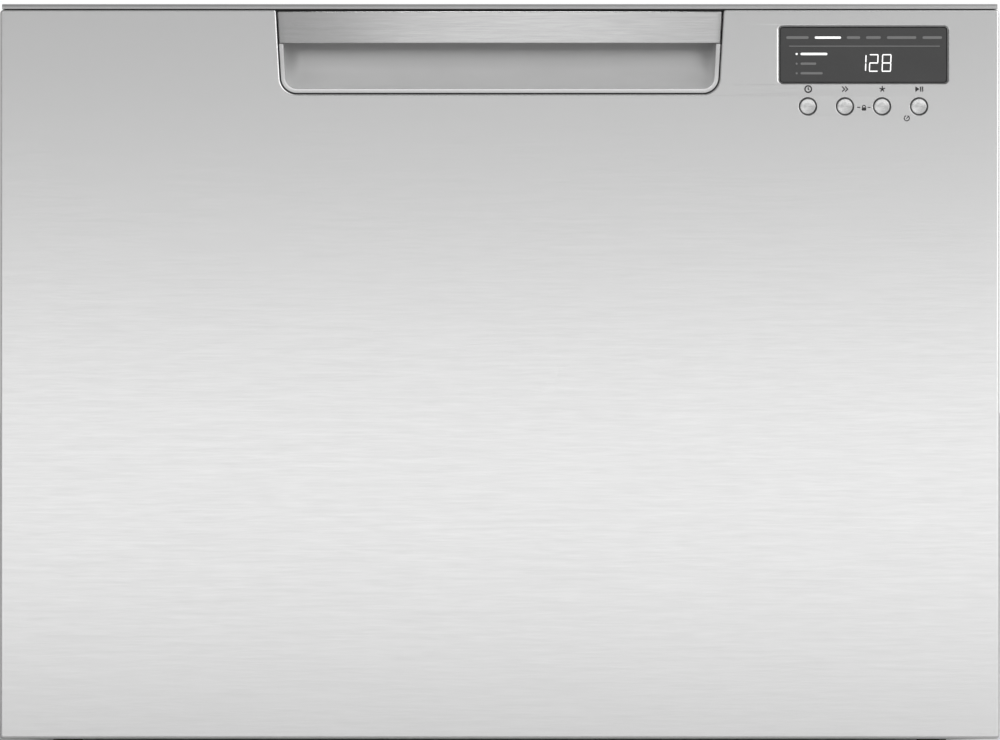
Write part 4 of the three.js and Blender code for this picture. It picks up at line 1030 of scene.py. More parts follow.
X, Z = px(808.2, 89.1)
band_ring(b, X, Z, 1.95, 0.52)
stroke(b, [(X, Z + 0.95), (X, Z), (X + 0.55, Z - 0.38)], 0.4)
for dx in (-1.05, 0.75):
    X, Z = px(845.2, 89.1)
    X += dx
    stroke(b, [(X - 0.65, Z + 1.35), (X + 0.75, Z), (X - 0.65, Z - 1.35)], 0.42)
X, Z = px(882.3, 89.1)
for k in range(5):
    a = math.radians(90 + 72 * k)
    stroke(b, [(X, Z), (X + 1.55 * math.cos(a), Z + 1.55 * math.sin(a))], 0.44)
X, Z = px(917.6, 89.1)
mark(b, [(X - 1.35, Z - 1.7), (X + 1.2, Z), (X - 1.35, Z + 1.7)], P0, 0.02)
for dx in (1.8, 3.0):
    mark(b, rect(X + dx - 0.38, X + dx + 0.38, Z - 1.5, Z + 1.5), P0, 0.02)
X, Z = px(864.0, 108.0)
mark(b, rect(X - 1.35, X + 1.35, Z - 1.5, Z + 0.4, 0.25, 3), P0, 0.02)
band_ring(b, X, Z + 0.5, 1.05, 0.36, 20, 0, 180)
for dx in (-3.1, 3.0):
    mark(b, rect(X + dx - 0.9, X + dx + 0.9, Z + 0.1, Z + 0.7), P0, 0.02)
X, Z = px(906.8, 118.2)
band_ring(b, X, Z, 1.55, 0.36, 30, 105, 435)
stroke(b, [(X - 0.1, Z - 0.1), (X + 0.75, Z + 0.8)], 0.34)
make("button_signs", b, INK, "front_panel", weight=False)

# ---- turned metal push buttons
for name, x in BUTTONS:
    mat = turned_metal("turned_button_" + name, 0.63, 0.26, (x, 0, BUTTON_Z))
    # Painted shade in the gap round the cap: its shoulder and flange darken with depth, to 0.2 from 1 mm behind the
    # front.
    paint_shade_ramp(mat, YF + 1.0, YF + 0.3, 0.2)
    b = Build()
    b.lathe(
        [(0, 0.16), (2.4, 0.13), (3.95, 0.02), (4.2, 0.0), (4.3, 0.08), (4.76, 0.5), (4.76, 2.0), (6.6, 2.0), (6.6, 2.8), (2.5, 2.8), (2.5, 17.5), (0, 17.5)],
        64,
        (x, YF + 0.2, BUTTON_Z),
        "Y",
        0.14,
        3,
    )
    make(f"button_{name}_cap", b, mat, "button_" + name, stands_for=("button_" + name,), angle=50)


def hexhead(b, x, y, z, axis, s=1, r=3.3, h=2.0, washer=4.6):
    """A hexagon-washer screw head on a face: axis is its direction, s its sign."""
    plane = {
        "X": lambda u, v, w: (x + s * w, y + u, z + v),
        "Y": lambda u, v, w: (x + u, y + s * w, z + v),
        "Z": lambda u, v, w: (x + u, y + v, z + s * w),
    }[axis]
    b.slab(ring(0, 0, washer, 24), 0, 0.7, plane, 0.25, 2)
    b.slab(ring(0, 0, r, 6, 0.3), 0.5, h, plane, 0.35, 2)


def dome(b, x, y, z, axis, s=1, r=4.0, h=0.8, n=24):
    """A low rivet or spot-weld button."""
    rows = []
    for k in range(6):
        a = math.pi / 2 * k / 5
        rr, hh = r * math.cos(a), h * math.sin(a)
        row = []
        for i in range(n):
            t = 2 * math.pi * i / n
            u, v = rr * math.cos(t), rr * math.sin(t)
            row.append({"X": (x + s * hh, y + u, z + v), "Y": (x + u, y + s * hh, z + v), "Z": (x + u, y + v, z + s * hh)}[axis])
        rows.append(row)
    base = []
    for i in range(n):
        t = 2 * math.pi * i / n
        u, v = r * math.cos(t), r * math.sin(t)
        base.append({"X": (x - s * 0.3, y + u, z + v), "Y": (x + u, y - s * 0.3, z + v), "Z": (x + u, y + v, z - s * 0.3)}[axis])
    b.rows([base] + rows, True)
    b.fill(base)


# ---- dark strip in the slit under the trim: painted shade for the shadow line in the gap
b = Build()
b.box(-296.5, 296.5, YF + 3.4, YF + 5.2, 449.4, 451.6, 0.4)
make("trim_gasket", b, DARK, "top_trim")

# ---- felt pad, carrier and drying fan in the drawer front
b = Build()
b.slab(rect(-286, 286, 28, 372, 12, 6), YF + 1.4, -273.4, XZ, 1.6, 4)
make("sound_pad", b, FELT, "insulation_pad", stands_for=("insulation_pad",))

b = Build()
holes = []
for r0, r1 in ((9.5, 17.0), (18.5, 27.5)):
    for k in range(6):
        a0, a1 = math.radians(60 * k + 4), math.radians(60 * k + 56)
        A = [a0 + (a1 - a0) * i / 8 for i in range(9)]
        h = [Vector((190 + r1 * math.cos(a), 100 + r1 * math.sin(a))) for a in A]
        h += [Vector((190 + r0 * math.cos(a), 100 + r0 * math.sin(a))) for a in reversed(A)]
        holes.append(h)
holes += [rect(150 + i * 12, 156 + i * 12, 24, 36, 2.4, 4) for i in range(5)]
b.slab(rect(-298, 298, 16.5, 450.6, 3, 5), -260, -257, XZ, 0.7, 3, holes, 0.5)
wall_o, wall_i = rect(-297.9, 297.9, 16.6, 448.4, 3, 5), rect(-295.4, 295.4, 19.0, 446.0, 2, 5)
b.slab(wall_o, -270, -259.4, XZ, 0.4, 2, [wall_i], 0.4)
for x in (-120, -40, 40, 117.5):
    b.box(x, x + 2.5, -266, -259.4, 20, 390, 0.5)
b.box(-295.5, 295.5, -264, -259.4, 392, 394, 0.5)
# long shallow ribs on the face towards the tub
for z in (60, 96, 132, 168, 204, 240, 276):
    b.box(-280, 110, -257.3, -256.75, z, z + 3, 0.2)
for z in (168, 204, 240, 276):
    b.box(118, 280, -257.3, -256.75, z, z + 3, 0.2)
make("front_back_plate", b, CARRIER, "front_carrier", stands_for=("front_carrier",))

finer("drying_fan_housing", "fan_housing", DARK, 0.4)
b = Build()
fx, fy, fz = 190.0, -268.0, 100.0
b.lathe([(0, -4.0), (10.5, -4.0), (12, -3.2), (12, 4.0), (2.0, 4.0), (2.0, -2.8), (0, -2.8)], 40, (fx, fy, fz), "Y", 0.5)
for k in range(7):
    rows = []
    for i in range(9):
        r = 11.0 + 21.8 * i / 8
        tw = 0.78 - 0.22 * i / 8
        c = 4.3 + 0.5 * math.sin(math.pi * i / 8)
        prof = []
        for u, w in ((-1, -0.25), (-0.6, -0.6), (0, -0.7), (0.6, -0.6), (1, -0.25), (1, 0.25), (0.6, 0.6), (0, 0.85), (-0.6, 0.6), (-1, 0.25)):
            y = u * c * math.cos(tw) - w * math.sin(tw)
            t = u * c * math.sin(tw) + w * math.cos(tw) + 1.2 * (i / 8) ** 2
            a = 2 * math.pi * k / 7
            prof.append((fx + r * math.cos(a) - t * math.sin(a), fy + y, fz + r * math.sin(a) + t * math.cos(a)))
        rows.append(prof)
    b.loft(rows)
make("fan_rotor", b, DARK, "drying_fan_rotor", stands_for=("drying_fan_rotor",), angle=40)


# ================================================================== wash tub
TX, TY0, TY1 = 262.0, -248.0, 225.0


def tub_rect(e, z, r=None, n=9):
    r = max(23.5 - e, 3.0) if r is None else r
    pts = rect(-TX + e, TX - e, TY0 + e, TY1 - e, r, n)
    out = []
    for i, p in enumerate(pts):
        out.append((p.x, p.y, z))
        q = pts[(i + 1) % len(pts)]
        if (q - p).length > 100:
            for k in range(1, 16):
                out.append((p.x + (q.x - p.x) * k / 16, p.y + (q.y - p.y) * k / 16, z))
    return out


REF = tub_rect(60, 0, 20)


def tub_ring(r, z):
    return [(r * math.cos(a), r * math.sin(a), z) for a in (math.atan2(p[1] - 0.0, p[0]) for p in REF)]


rows = [tub_ring(9, 48.0), tub_ring(64, 48.0), tub_ring(68.5, 49.2), tub_ring(70.4, 51.5), tub_ring(71, 54.5), tub_ring(71, 57.5), tub_ring(71.8, 60.3), tub_ring(74.5, 62.0)]
rows += [tub_rect(26, 62.0, 8)]
for k in range(1, 7):
    a = math.pi / 2 * k / 6
    rows.append(tub_rect(14 * (1 - math.sin(a)), 62.0 + 14 * (1 - math.cos(a))))
rows += [tub_rect(0, 378.6), tub_rect(-0.3, 379.6), tub_rect(-2.6, 380.0), tub_rect(-3.0, 380.4), tub_rect(-3.0, 382.6), tub_rect(-2.6, 383.0), tub_rect(-0.3, 383.4), tub_rect(0, 384.4)]
rows += [tub_rect(0, 397.4), tub_rect(-0.4, 398.5), tub_rect(-1.5, 399.0), tub_rect(-7.4, 399.0, 33.4), tub_rect(-7.9, 399.4, 34), tub_rect(-8.0, 400.2, 34), tub_rect(-7.6, 401.4, 34), tub_rect(-6.8, 402.0, 34)]
rows += [tub_rect(1.6, 402.0), tub_rect(2.8, 401.6), tub_rect(3.4, 400.4), tub_rect(3.5, 398.5)]
rows += [tub_rect(3.5, 84.0)]
for k in range(1, 8):
    a = math.pi / 2 * k / 7
    rows.append(tub_rect(3.5 + 16 * (1 - math.cos(a)), 82.0 - 16 * math.sin(a), max(20 - 16 * (1 - math.cos(a)), 6)))
rows += [tub_ring(76, 66.0), tub_ring(72.4, 65.6), tub_ring(69.4, 63.8), tub_ring(68, 61.0), tub_ring(68, 56.0), tub_ring(66.6, 52.8), tub_ring(63.5, 51.2), tub_ring(60, 51.0), tub_ring(9, 51.0)]
rows.append(rows[0])
b = Build()
b.rows(rows, True)
tub = make("wash_tub", b, TUB, "tub", stands_for=("tub",), angle=38)
c = Build()
c.slab(rect(-82, 82, 300, 392, 5, 4), -262, -236, XZ, 0)
cut(tub, c)

b = Build()
for s in (-1, 1):
    for y in (-215, 140):
        x0, x1 = sorted((s * 261.0, s * 285.8))
        b.box(x0, x1, y, y + 60, 317, 343, 1.6, 3)
        for dy in (14, 30, 46):
            b.box(*sorted((s * 261.5, s * 284.0)), y + dy - 1.2, y + dy + 1.2, 312.5, 318, 0.5)
    for y in (-150, 110):
        x0, x1 = sorted((s * 240.0, s * 259.5))
        b.slab(
            fillet([(x0, 127.7), (x1, 127.7), (x1, 108.0) if s > 0 else (x1, 120.0), (x0, 120.0) if s > 0 else (x0, 108.0)], 1.2, 3),
            y,
            y + 40,
            XZ,
            1.0,
            3,
        )
b.box(-248, -232, 219, 260, 117, 122, 1.2, 3)
for x in (-245, -237):
    b.slab([(222.0, 121.5), (252.0, 121.5), (222.0, 146.0)], x, x + 2.0, YZ, 0.3)
b.lathe([(0, 101), (3, 101), (3, 118), (0, 118)], 24, (-240, 252, 0), "Z", 0.6)
for x, z in ((-150, 90), (90, 170), (-150, 250)):
    b.slab(rect(x, x + 60, z, z + 20, 3, 4), -256.6, -246.5, XZ, 0.8, 3)
# moulded ribs outside the walls
for x in (-180, -90, 0, 90, 180):
    b.box(x - 1.2, x + 1.2, 224, 230, 130, 379, 0.5)
for s in (-1, 1):
    for y in (-120, -40, 60):
        x0, x1 = sorted((s * 261.5, s * 266.5))
        b.box(x0, x1, y - 1.2, y + 1.2, 90, 379, 0.5)
make("tub_mountings", b, TUB, "tub")

# ---- wash pump under the sump
b = Build()
b.lathe(
    [(0, 26), (50, 26), (58, 30), (60, 36), (60, 39), (60.8, 39.4), (60.8, 41.2), (60, 41.6), (60, 44), (56, 47.6), (5.6, 47.6), (5.6, 30), (0, 30)],
    80,
    (0, 0, 0),
    "Z",
    0.8,
)
b.lathe([(14, 24.6), (22, 24.6), (24, 26.4), (12, 26.4)], 48, (0, 0, 0), "Z", 0.3, 3, True)
for i in range(3):
    a = 2 * math.pi * i / 3 + 0.5
    b.lathe([(0, 42), (7, 42), (7, 47.5), (0, 47.5)], 28, (64 * math.cos(a), 64 * math.sin(a), 0), "Z", 0.7)
for i in range(18):
    a = 2 * math.pi * i / 18
    o = len(b.v)
    b.box(40, 57.5, -1.1, 1.1, 27.4, 34.5, 0.4)
    b.turn(o, Matrix.Rotation(a, 4, "Z"))
b.box(-14, 14, -74, -52, 31, 45, 1.4, 3)
for x in (-8, 0, 8):
    b.box(x - 2.3, x + 2.3, -75.6, -73.5, 34, 42, 0.5)
make("pump_body", b, MOTOR, "pump_motor", stands_for=("pump_motor",))

b = Build()
b.lathe([(0, -18), (5, -18), (5, 3), (45, 3), (45, 6), (14, 7), (11, 14), (0, 16)], 64, (0, 0, 50), "Z", 0.5)
for k in range(6):
    rows = []
    for i in range(13):
        u = i / 12
        r = 9.0 + 34.0 * u
        a = 2 * math.pi * k / 6 + 0.42 * u * u
        h = 62.3 - 1.2 * u
        n = Vector((-math.sin(a + 0.5 * u), math.cos(a + 0.5 * u)))
        c = Vector((r * math.cos(a), r * math.sin(a)))
        p, q = c + n * 0.9, c - n * 0.9
        rows.append([(p.x, p.y, 54.6), (p.x, p.y, h - 0.4), (c.x, c.y, h), (q.x, q.y, h - 0.4), (q.x, q.y, 54.6)])
    b.loft(rows)
make("pump_impeller", b, WHITE, "pump_rotor", stands_for=("pump_rotor",))

# ---- heating ring with its brackets
b = Build()
b.tube([(185 * math.cos(2 * math.pi * i / 120), 185 * math.sin(2 * math.pi * i / 120), 76) for i in range(120)], 4.1, 16, True)
make("heating_ring", b, SHEATH, "heating_element", stands_for=("heating_element",))
b = Build()
for x0, x1, y0, y1 in ((-30, -18, 178, 192), (18, 30, 178, 192), (-6, 6, -192, -178)):
    b.box(x0, x1, y0, y1, 66.1, 74.6, 0.8)
    b.box(x0 + 2, x1 - 2, y0 - 1, y1 + 1, 70.5, 80.8, 0.6)
make("heater_brackets", b, ZINC, "heating_element")

# ---- perforated filter plate round the spray arm's post
FX, FY = -98.0, -58.0
b = Build()
holes = [ring(FX, FY, 39.2, 72)]
for r0, r1, count in ((52, 80, 26), (87, 122, 36), (129, 164, 48), (171, 203, 58)):
    for k in range(count):
        a = 2 * math.pi * (k + 0.5) / count
        d = Vector((math.cos(a), math.sin(a)))
        n = Vector((-d.y, d.x))
        p, q = d * r0, d * r1
        if min(((p + (q - p) * i / 4) - Vector((FX, FY))).length for i in range(5)) < 49:
            continue
        if max(abs(q.x), 0) > 236 or not -222 < q.y < 200:
            continue
        hw = 2.0
        outline = []
        for i in range(5):
            t = math.pi / 2 + math.pi * i / 4
            outline.append(p + d * (hw * math.cos(t)) + n * (hw * math.sin(t)))
        for i in range(5):
            t = -math.pi / 2 + math.pi * i / 4
            outline.append(q + d * (hw * math.cos(t)) + n * (hw * math.sin(t)))
        holes.append(outline)
b.slab(rect(-250, 250, -236, 213, 24, 12), 84, 87, XY, 0.8, 3, holes, 0.4)
b.lathe([(0, 85), (31, 85), (31, 87.2), (24.5, 90.6), (11.5, 91.2), (11.5, 100.2), (10.7, 101), (0, 101)], 64, (0, 0, 0), "Z", 0.6)
b.lathe([(42.7, 86.5), (47.0, 86.5), (46.1, 88.4), (43.2, 88.4)], 72, (FX, FY, 0), "Z", 0.4, 3, True)
for x, y in ((-225, -205), (225, -205), (-225, 185), (225, 185)):
    b.lathe([(0, 66.3), (6, 66.3), (6, 85), (0, 85)], 28, (x, y, 0), "Z", 0.6)
    b.lathe([(0, 86.5), (9, 86.5), (8.4, 88.0), (0, 88.0)], 36, (x, y, 0), "Z", 0.5)
o = rect(-250, 250, -236, 213, 24, 12)
b.slab(inset(ccw(o), 3), 86.5, 88.2, XY, 0.5, 2, [inset(ccw(o), 6.5)], 0.5)
make("floor_filter", b, FILTER, "filter_plate", stands_for=("filter_plate",))

# ---- drain filter: ribbed cup with a fine mesh, rim and grip
b = Build()
c0 = (FX, FY, 84.0)
b.lathe([(33.2, 0.6), (38, 0.6), (38.4, 3.3), (42, 3.3), (42, 5.6), (33.2, 5.6)], 72, c0, "Z", 0.5, 3, True)
b.lathe([(0, -17), (34, -17), (34.4, -14.6), (0, -14.4)], 64, c0, "Z", 0.5)
for z, r in ((-11.0, 35.0), (-7.0, 35.7), (-3.0, 36.4)):
    b.lathe([(r - 1.5, z - 0.7), (r, z - 0.7), (r, z + 0.7), (r - 1.5, z + 0.7)], 64, c0, "Z", 0.2, 2, True)
for k in range(20):
    a = 2 * math.pi * k / 20
    o = len(b.v)
    b.slab([(32.6, -15.2), (34.6, -15.2), (38.0, 1.2), (35.6, 1.2)], -1.0, 1.0, lambda u, v, w: (u, w, v), 0.3)
    b.turn(o, Matrix.Translation((FX, FY, 84)) @ Matrix.Rotation(a, 4, "Z"))
b.slab(fillet([(-30, 2.2), (30, 2.2), (27.5, 13.4), (-27.5, 13.4)], [0.5, 0.5, 3.5, 3.5], 6), -2.9, 2.9, lambda u, v, w: (FX + u, FY + w, 84 + v), 0.9, 3)
b.box(FX - 34, FX + 34, FY - 2.9, FY + 2.9, 84 + 1.2, 84 + 4.4, 0.6)
make("filter_cup", b, BASKET, "drain_filter", stands_for=("drain_filter",))
b = Build()
for k in range(72):
    a = 2 * math.pi * k / 72
    b.tube([(FX + r * math.cos(a), FY + r * math.sin(a), 84 + z) for r, z in ((33.0, -14.8), (34.9, 1.0))], 0.3, 5, cap=False)
for j in range(14):
    u = (j + 0.5) / 14
    r, z = 33.0 + 1.9 * u, -14.8 + 15.8 * u
    b.tube([(FX + r * math.cos(2 * math.pi * i / 60), FY + r * math.sin(2 * math.pi * i / 60), 84 + z) for i in range(60)], 0.3, 5, True)
make("filter_mesh", b, SHEATH, "drain_filter")

# ---- spray arm: two flattened hollow blades on a hub
b = Build()
ARM_W = [(0, 30), (60, 29), (140, 24), (195, 18), (212, 10), (216, 0)]


def arm_w(x):
    for (a, p), (c, q) in zip(ARM_W, ARM_W[1:]):
        if x <= c:
            u = (x - a) / (c - a)
            return p + (q - p) * u
    return 0.0


TURN = Matrix.Rotation(math.radians(32), 4, "Z")
xs = [0, 15, 30, 50, 70, 90, 110, 130, 150, 165, 180, 192, 200, 206, 210, 213, 215, 215.9]
for s in (-1, 1):
    o = len(b.v)
    rows = []
    for x in xs:
        w = arm_w(x)
        if x > 150:
            w = 24.0 * math.sqrt(max(1 - ((x - 150) / 66.2) ** 2.6, 0.0)) * (0.96 if x < 215 else 0.9) + 0.15
            w = min(w, 23.6)
        hgt = 5.4 * min(1.0, math.sqrt(max((216.3 - x) / 26.0, 0.02)))
        loop = []
        for k in range(32):
            a = 2 * math.pi * k / 32
            ca, sa = math.cos(a), math.sin(a)
            y = math.copysign(abs(ca) ** 0.82, ca) * w
            z = math.copysign(abs(sa) ** 0.62, sa) * hgt
            yy = y * (0.9 if y > 0 else 1.05)
            crown = 0.0 if sa < 0 else -1.4 * abs(yy / max(w, 1)) ** 2
            loop.append((s * x, s * yy, 109.5 + z + crown * min(1.0, hgt / 5.4)))
        rows.append(loop)
    b.loft(rows)
    for d, off in ((80, 8), (130, -6), (180, 3)):
        X, Y = (d, off) if s > 0 else (-d - 10, -off)
        b.lathe([(1.5, 112.2), (4.2, 112.2), (3.4, 115.4), (1.9, 115.4)], 24, (X, Y, 0), "Z", 0.3, 3, True)
    for x0, x1 in ((40, 70), (92, 118), (142, 168)):
        b.slab(stadium(*sorted((s * x0, s * x1)), -s * 12.5 - 1.1, -s * 12.5 + 1.1, 6), 113.0, 114.9, XY, 0.4)
    b.turn(o, TURN)
b.lathe(
    [(0, 102), (12.1, 102), (12.1, 92), (22, 92), (24, 100), (34, 105), (34, 114), (26, 117.4), (14, 118), (13, 119), (0, 119)],
    72,
    (0, 0, 0),
    "Z",
    0.9,
)
for k in range(12):
    a = 2 * math.pi * k / 12
    o = len(b.v)
    b.box(24.5, 33.6, -0.9, 0.9, 113.0, 116.4, 0.4)
    b.turn(o, Matrix.Rotation(a, 4, "Z"))
make("spray_arm_blades", b, ARM, "spray_arm", stands_for=("spray_arm",), angle=45)

# ---- detergent and rinse-aid dispenser in the tub's front wall
b = Build()
cup = rect(-70, -10, 322, 372, 6, 6)
bore = ring(42, 347, 14.5, 48)
hinge = rect(-72, -8, 311, 318.6, 1.0, 3)
b.slab(rect(-86, 86, 297, 395, 6, 8), -244.3, -241, XZ, 0.9, 3, [cup, bore, hinge], 0.5)
b.slab(rect(-80, 80, 302, 390, 5, 6), -253, -243.8, XZ, 0.6, 2, [cup, bore], 0.2)
b.slab(rect(-80, 80, 302, 390, 5, 6), -255.8, -252.6, XZ, 0.6, 2)
b.slab(rect(-76.5, -3.5, 308, 380, 5, 6), -241.4, -240.3, XZ, 0.5, 2, [inset(ccw(rect(-76.5, -3.5, 308, 380, 5, 6)), 2.2)], 0.4)
b.slab(ring(42, 347, 24.5, 60), -241.4, -240.6, XZ, 0.3, 2, [ring(42, 347, 22.5, 60)], 0.3)
for k in range(3):
    b.slab(stadium(24, 60, 306 + 5 * k, 308 + 5 * k, 5), -241.4, -240.6, XZ, 0.3)
b.slab(rect(-48, -32, 374.2, 379, 1.2, 3), -243, -237.6, XZ, 0.6, 2)
make("dispenser_body", b, WHITE, "dispenser", stands_for=("dispenser",))

b = Build()
o = len(b.v)
b.slab(rect(-35, 35, 2.6, 57.5, 5, 6), 0, 3, XZ, 0.8, 3)
b.lathe([(0, -31), (2.6, -31), (2.6, 31), (0, 31)], 28, (0, 0, 0), "X", 0.4)
b.box(-31, 31, 0.2, 2.8, 0, 5, 0.6)
b.slab(rect(-12, 12, 50, 54, 1.5, 3), 2.6, 4.5, XZ, 0.6, 2)
b.slab(rect(-29, 29, 9, 46, 4, 5), 2.7, 3.7, XZ, 0.4, 2, [rect(-26.5, 26.5, 11.5, 43.5, 3, 5)], 0.4)
b.turn(o, Matrix.Translation((-40, -238.2, 316.6)))
make("detergent_flap", b, WHITE, "detergent_door", stands_for=("detergent_door",))

b = Build()
b.lathe([(0, -8), (13.8, -8), (13.8, 0), (18, 0), (19, 1.5), (19, 5), (17.5, 6.5), (0, 6.5)], 64, (42, -240.7, 347), "Y", 0.5)
for k in range(28):
    a = 2 * math.pi * k / 28
    X, Z = 42 + 18.7 * math.cos(a), 347 + 18.7 * math.sin(a)
    b.lathe([(0, 1.6), (0.7, 1.6), (0.7, 4.9), (0, 4.9)], 8, (X, -240.7, Z), "Y", 0.2, 2)
b.slab(fillet([(-15, -2.2), (15, -2.2), (15, 2.2), (-15, 2.2)], 1.6, 4), -234.9, -230.2, lambda u, v, w: (42 + u, w, 347 + v), 0.8, 3)
make("rinse_cap", b, BASKET, "rinse_aid_cap", stands_for=("rinse_aid_cap",))


# ================================================================== rack
RXW, RY0, RY1 = 246.0, -224.0, 210.0
b = Build()
for x in (-189, -135, -81, -27, 27, 81, 135, 189):
    pts = fillet([(x, RY0, 297.6), (x, RY0, 130.9), (x, RY1, 130.9), (x, RY1, 297.6)], 9, 6, False)
    b.tube(pts, 1.85, 10)
for y in (-96, 24, 144):
    b.tube(fillet([(-RXW, y, 150), (-RXW, y, 129.9), (RXW, y, 129.9), (RXW, y, 150)], 7, 6, False), 1.85, 10)
for y in (-168, -114, -60, -6, 48, 102, 156):
    for s in (-1, 1):
        b.tube(fillet([(s * RXW, y, 297.6), (s * RXW, y, 130.2), (s * 189, y, 130.2)], 9, 6, False), 1.85, 10)


def loop_wire(e, z, r, rad, n=8):
    return [(p.x, p.y, z) for p in rect(-RXW + e, RXW - e, RY0 + e, RY1 - e, rad, n)]


b.tube(loop_wire(0, 297.6, 2.3, 13, 10), 2.35, 12, True)
b.tube(loop_wire(0, 130.2, 1.95, 13, 10), 1.95, 12, True)
for x in (-27, 27):
    for i in range(7):
        y = -120 + 48 * i
        b.tube([(x, y, 131), (x, y, 150), (x, y, 180), (x, y, 208), (x, y, 210)], [1.7, 1.7, 1.7, 1.7, 2.0], 10)
for x in (-81, 81):
    b.tube([(x, -204, 129.5), (x, 196, 129.5)], 0.9, 6)
make("rack_wires", b, WIRE, "dish_rack", stands_for=("dish_rack",), angle=60, weight=False)
b = Build()
for s in (-1, 1):
    for y in (-96, 144):
        b.slab(
            fillet([(s * 81 - 4.5, 129.4), (s * 81 + 4.5, 129.4), (s * 81 + 4.5, 140.2), (s * 81 - 4.5, 140.2)], [1, 1, 3.8, 3.8], 6),
            y - 2,
            y + 2,
            XZ,
            0.4,
            2,
            [ring(s * 81, 135.4, 2.75, 24)],
            0.2,
        )
    for y in (-114, 156):
        x0, x1 = sorted((s * 233.4, s * 246.5))
        b.slab(rect(x0, x1, 237.4, 246.6, 3.4, 6), y - 2, y + 2, XZ, 0.4, 2, [ring(s * 238, 242, 2.75, 24)], 0.2)
make("rack_clips", b, BASKET, "dish_rack")

for s, side in ((-1, "left"), (1, "right")):
    b = Build()
    x = s * 81
    b.tube([(x, -144, 135.4), (x, 196, 135.4)], 2.3, 14)
    for i in range(7):
        y = -120 + 48 * i
        b.tube([(x, y, 136), (x, y, 160), (x, y, 190), (x, y, 202), (x, y, 203.3)], [1.65, 1.65, 1.65, 1.65, 1.9], 10)
    make(f"tine_row_{side}_wires", b, WIRE, f"tine_row_{side}", stands_for=(f"tine_row_{side}",), angle=60, weight=False)
    b = Build()
    X = lambda d: s * (238 - d)
    b.tube([(X(0), -150, 242), (X(0), 190, 242)], 2.35, 14)
    b.tube(fillet([(X(0), -136 + 1.6, 242), (X(85.7), -136 + 1.6, 242), (X(85.7), 177.6, 242), (X(0), 177.6, 242)], 8, 7, False), 1.75, 12)
    for i in range(1, 6):
        y = -134.4 + 52 * i
        b.tube([(X(0), y, 242), (X(85.7), y, 242)], 1.55, 10)
    b.tube([(X(43), -134.4, 242), (X(43), 177.6, 242)], 1.45, 10)
    make(f"cup_shelf_{side}_wires", b, WIRE, f"cup_shelf_{side}", stands_for=(f"cup_shelf_{side}",), angle=60, weight=False)

# ---- cutlery basket: lattice walls, three cells and a carrying bridge
b = Build()


def lattice(u0, u1, v0, v1, cols, rws, edge, bar):
    out = []
    du, dv = (u1 - u0 - 2 * edge + bar) / cols, (v1 - v0 - 2 * edge + bar) / rws
    for i in range(cols):
        for j in range(rws):
            a, c = u0 + edge + i * du, v0 + edge + j * dv
            out.append(rect(a, a + du - bar, c, c + dv - bar, 0.9, 3))
    return out


for y0, y1 in ((-218.0, -216.0), (-154.0, -152.0)):
    b.slab(rect(-110, 110, 132.4, 226, 1.6, 3), y0, y1, XZ, 0.5, 2, lattice(-110, 110, 132.4, 226, 20, 6, 4.5, 2.6), 0.35)
for x0, x1 in ((-110.0, -108.0), (-37.0, -35.0), (35.0, 37.0), (108.0, 110.0)):
    b.slab(rect(-217.6, -152.4, 132.4, 225.6, 1.6, 3), x0, x1, YZ, 0.5, 2, lattice(-217.6, -152.4, 132.4, 225.6, 6, 6, 4.5, 2.6), 0.35)
b.slab(rect(-109.6, 109.6, -217.6, -152.4, 2, 4), 132.4, 134.9, XY, 0.5, 2, lattice(-109.6, 109.6, -217.6, -152.4, 22, 6, 4.5, 2.8), 0.35)
b.slab(rect(-110.0, 110.0, -218.0, -152.0, 2.5, 4), 222.2, 226.0, XY, 0.7, 3, [rect(-107.6, -37.4, -215.6, -154.4, 2, 4), rect(-34.6, 34.6, -215.6, -154.4, 2, 4), rect(37.4, 107.6, -215.6, -154.4, 2, 4)], 0.6)
bridge = fillet([(-36.9, 150), (-36.9, 256), (36.9, 256), (36.9, 150), (34.9, 150), (34.9, 251.4), (-34.9, 251.4), (-34.9, 150)], [0.4, 9, 9, 0.4, 0.4, 6, 6, 0.4], 8)
b.slab(bridge, -188.5, -181.5, XZ, 0.7, 3)
make("cutlery_lattice", b, BASKET, "cutlery_basket", stands_for=("cutlery_basket",))


# ================================================================== runners
def channel(b, s, web_in, web_out, hz, tip, y0, y1, lip=0.0):
    p = [(tip, hz), (web_out, hz), (web_out, -hz), (tip, -hz), (tip, -hz + 1.4), (web_in, -hz + 1.4), (web_in, hz - 1.4), (tip, hz - 1.4)]
    o = fillet([(s * x, 330 + z) for x, z in p], [0.6, 2.4, 2.4, 0.6, 0.6, 1.1, 1.1, 0.6], 5)
    b.slab(o, y0, y1, XZ, 0.25, 2)


for s, side in ((-1, "left"), (1, "right")):
    b = Build()
    channel(b, s, 293.2, 294.6, 22.85, 281.5, -250, 230)
    for y in (-200, 160, 20):
        dome(b, s * 293.2, y, 330, "X", -s, 3.6, 0.9)
    make(f"runner_outer_{side}_rail", b, RUNNER, f"runner_outer_{side}", stands_for=(f"runner_outer_{side}",))
    b = Build()
    channel(b, s, 289.6, 291.1, 19.6, 280.5, -250, 230)
    o = make(f"runner_middle_{side}_rail", b, RUNNER, f"runner_middle_{side}", stands_for=(f"runner_middle_{side}",))
    cs = []
    for y in (-215, -150, -85, -20, 45, 110, 175):
        c = Build()
        c.slab(stadium(y, y + 34, 326, 334, 8), *sorted((s * 288.5, s * 292.5)), YZ, 0)
        cs.append(c)
    cut(o, *cs)
    b = Build()
    channel(b, s, 286.1, 287.5, 16.2, 279.5, -250, 230)
    for y in (-190, -168, 155, 175):
        dome(b, s * 286.1, y, 330, "X", -s, 3.0, 0.25)
    make(f"runner_inner_{side}_rail", b, RUNNER, f"runner_inner_{side}", stands_for=(f"runner_inner_{side}",))


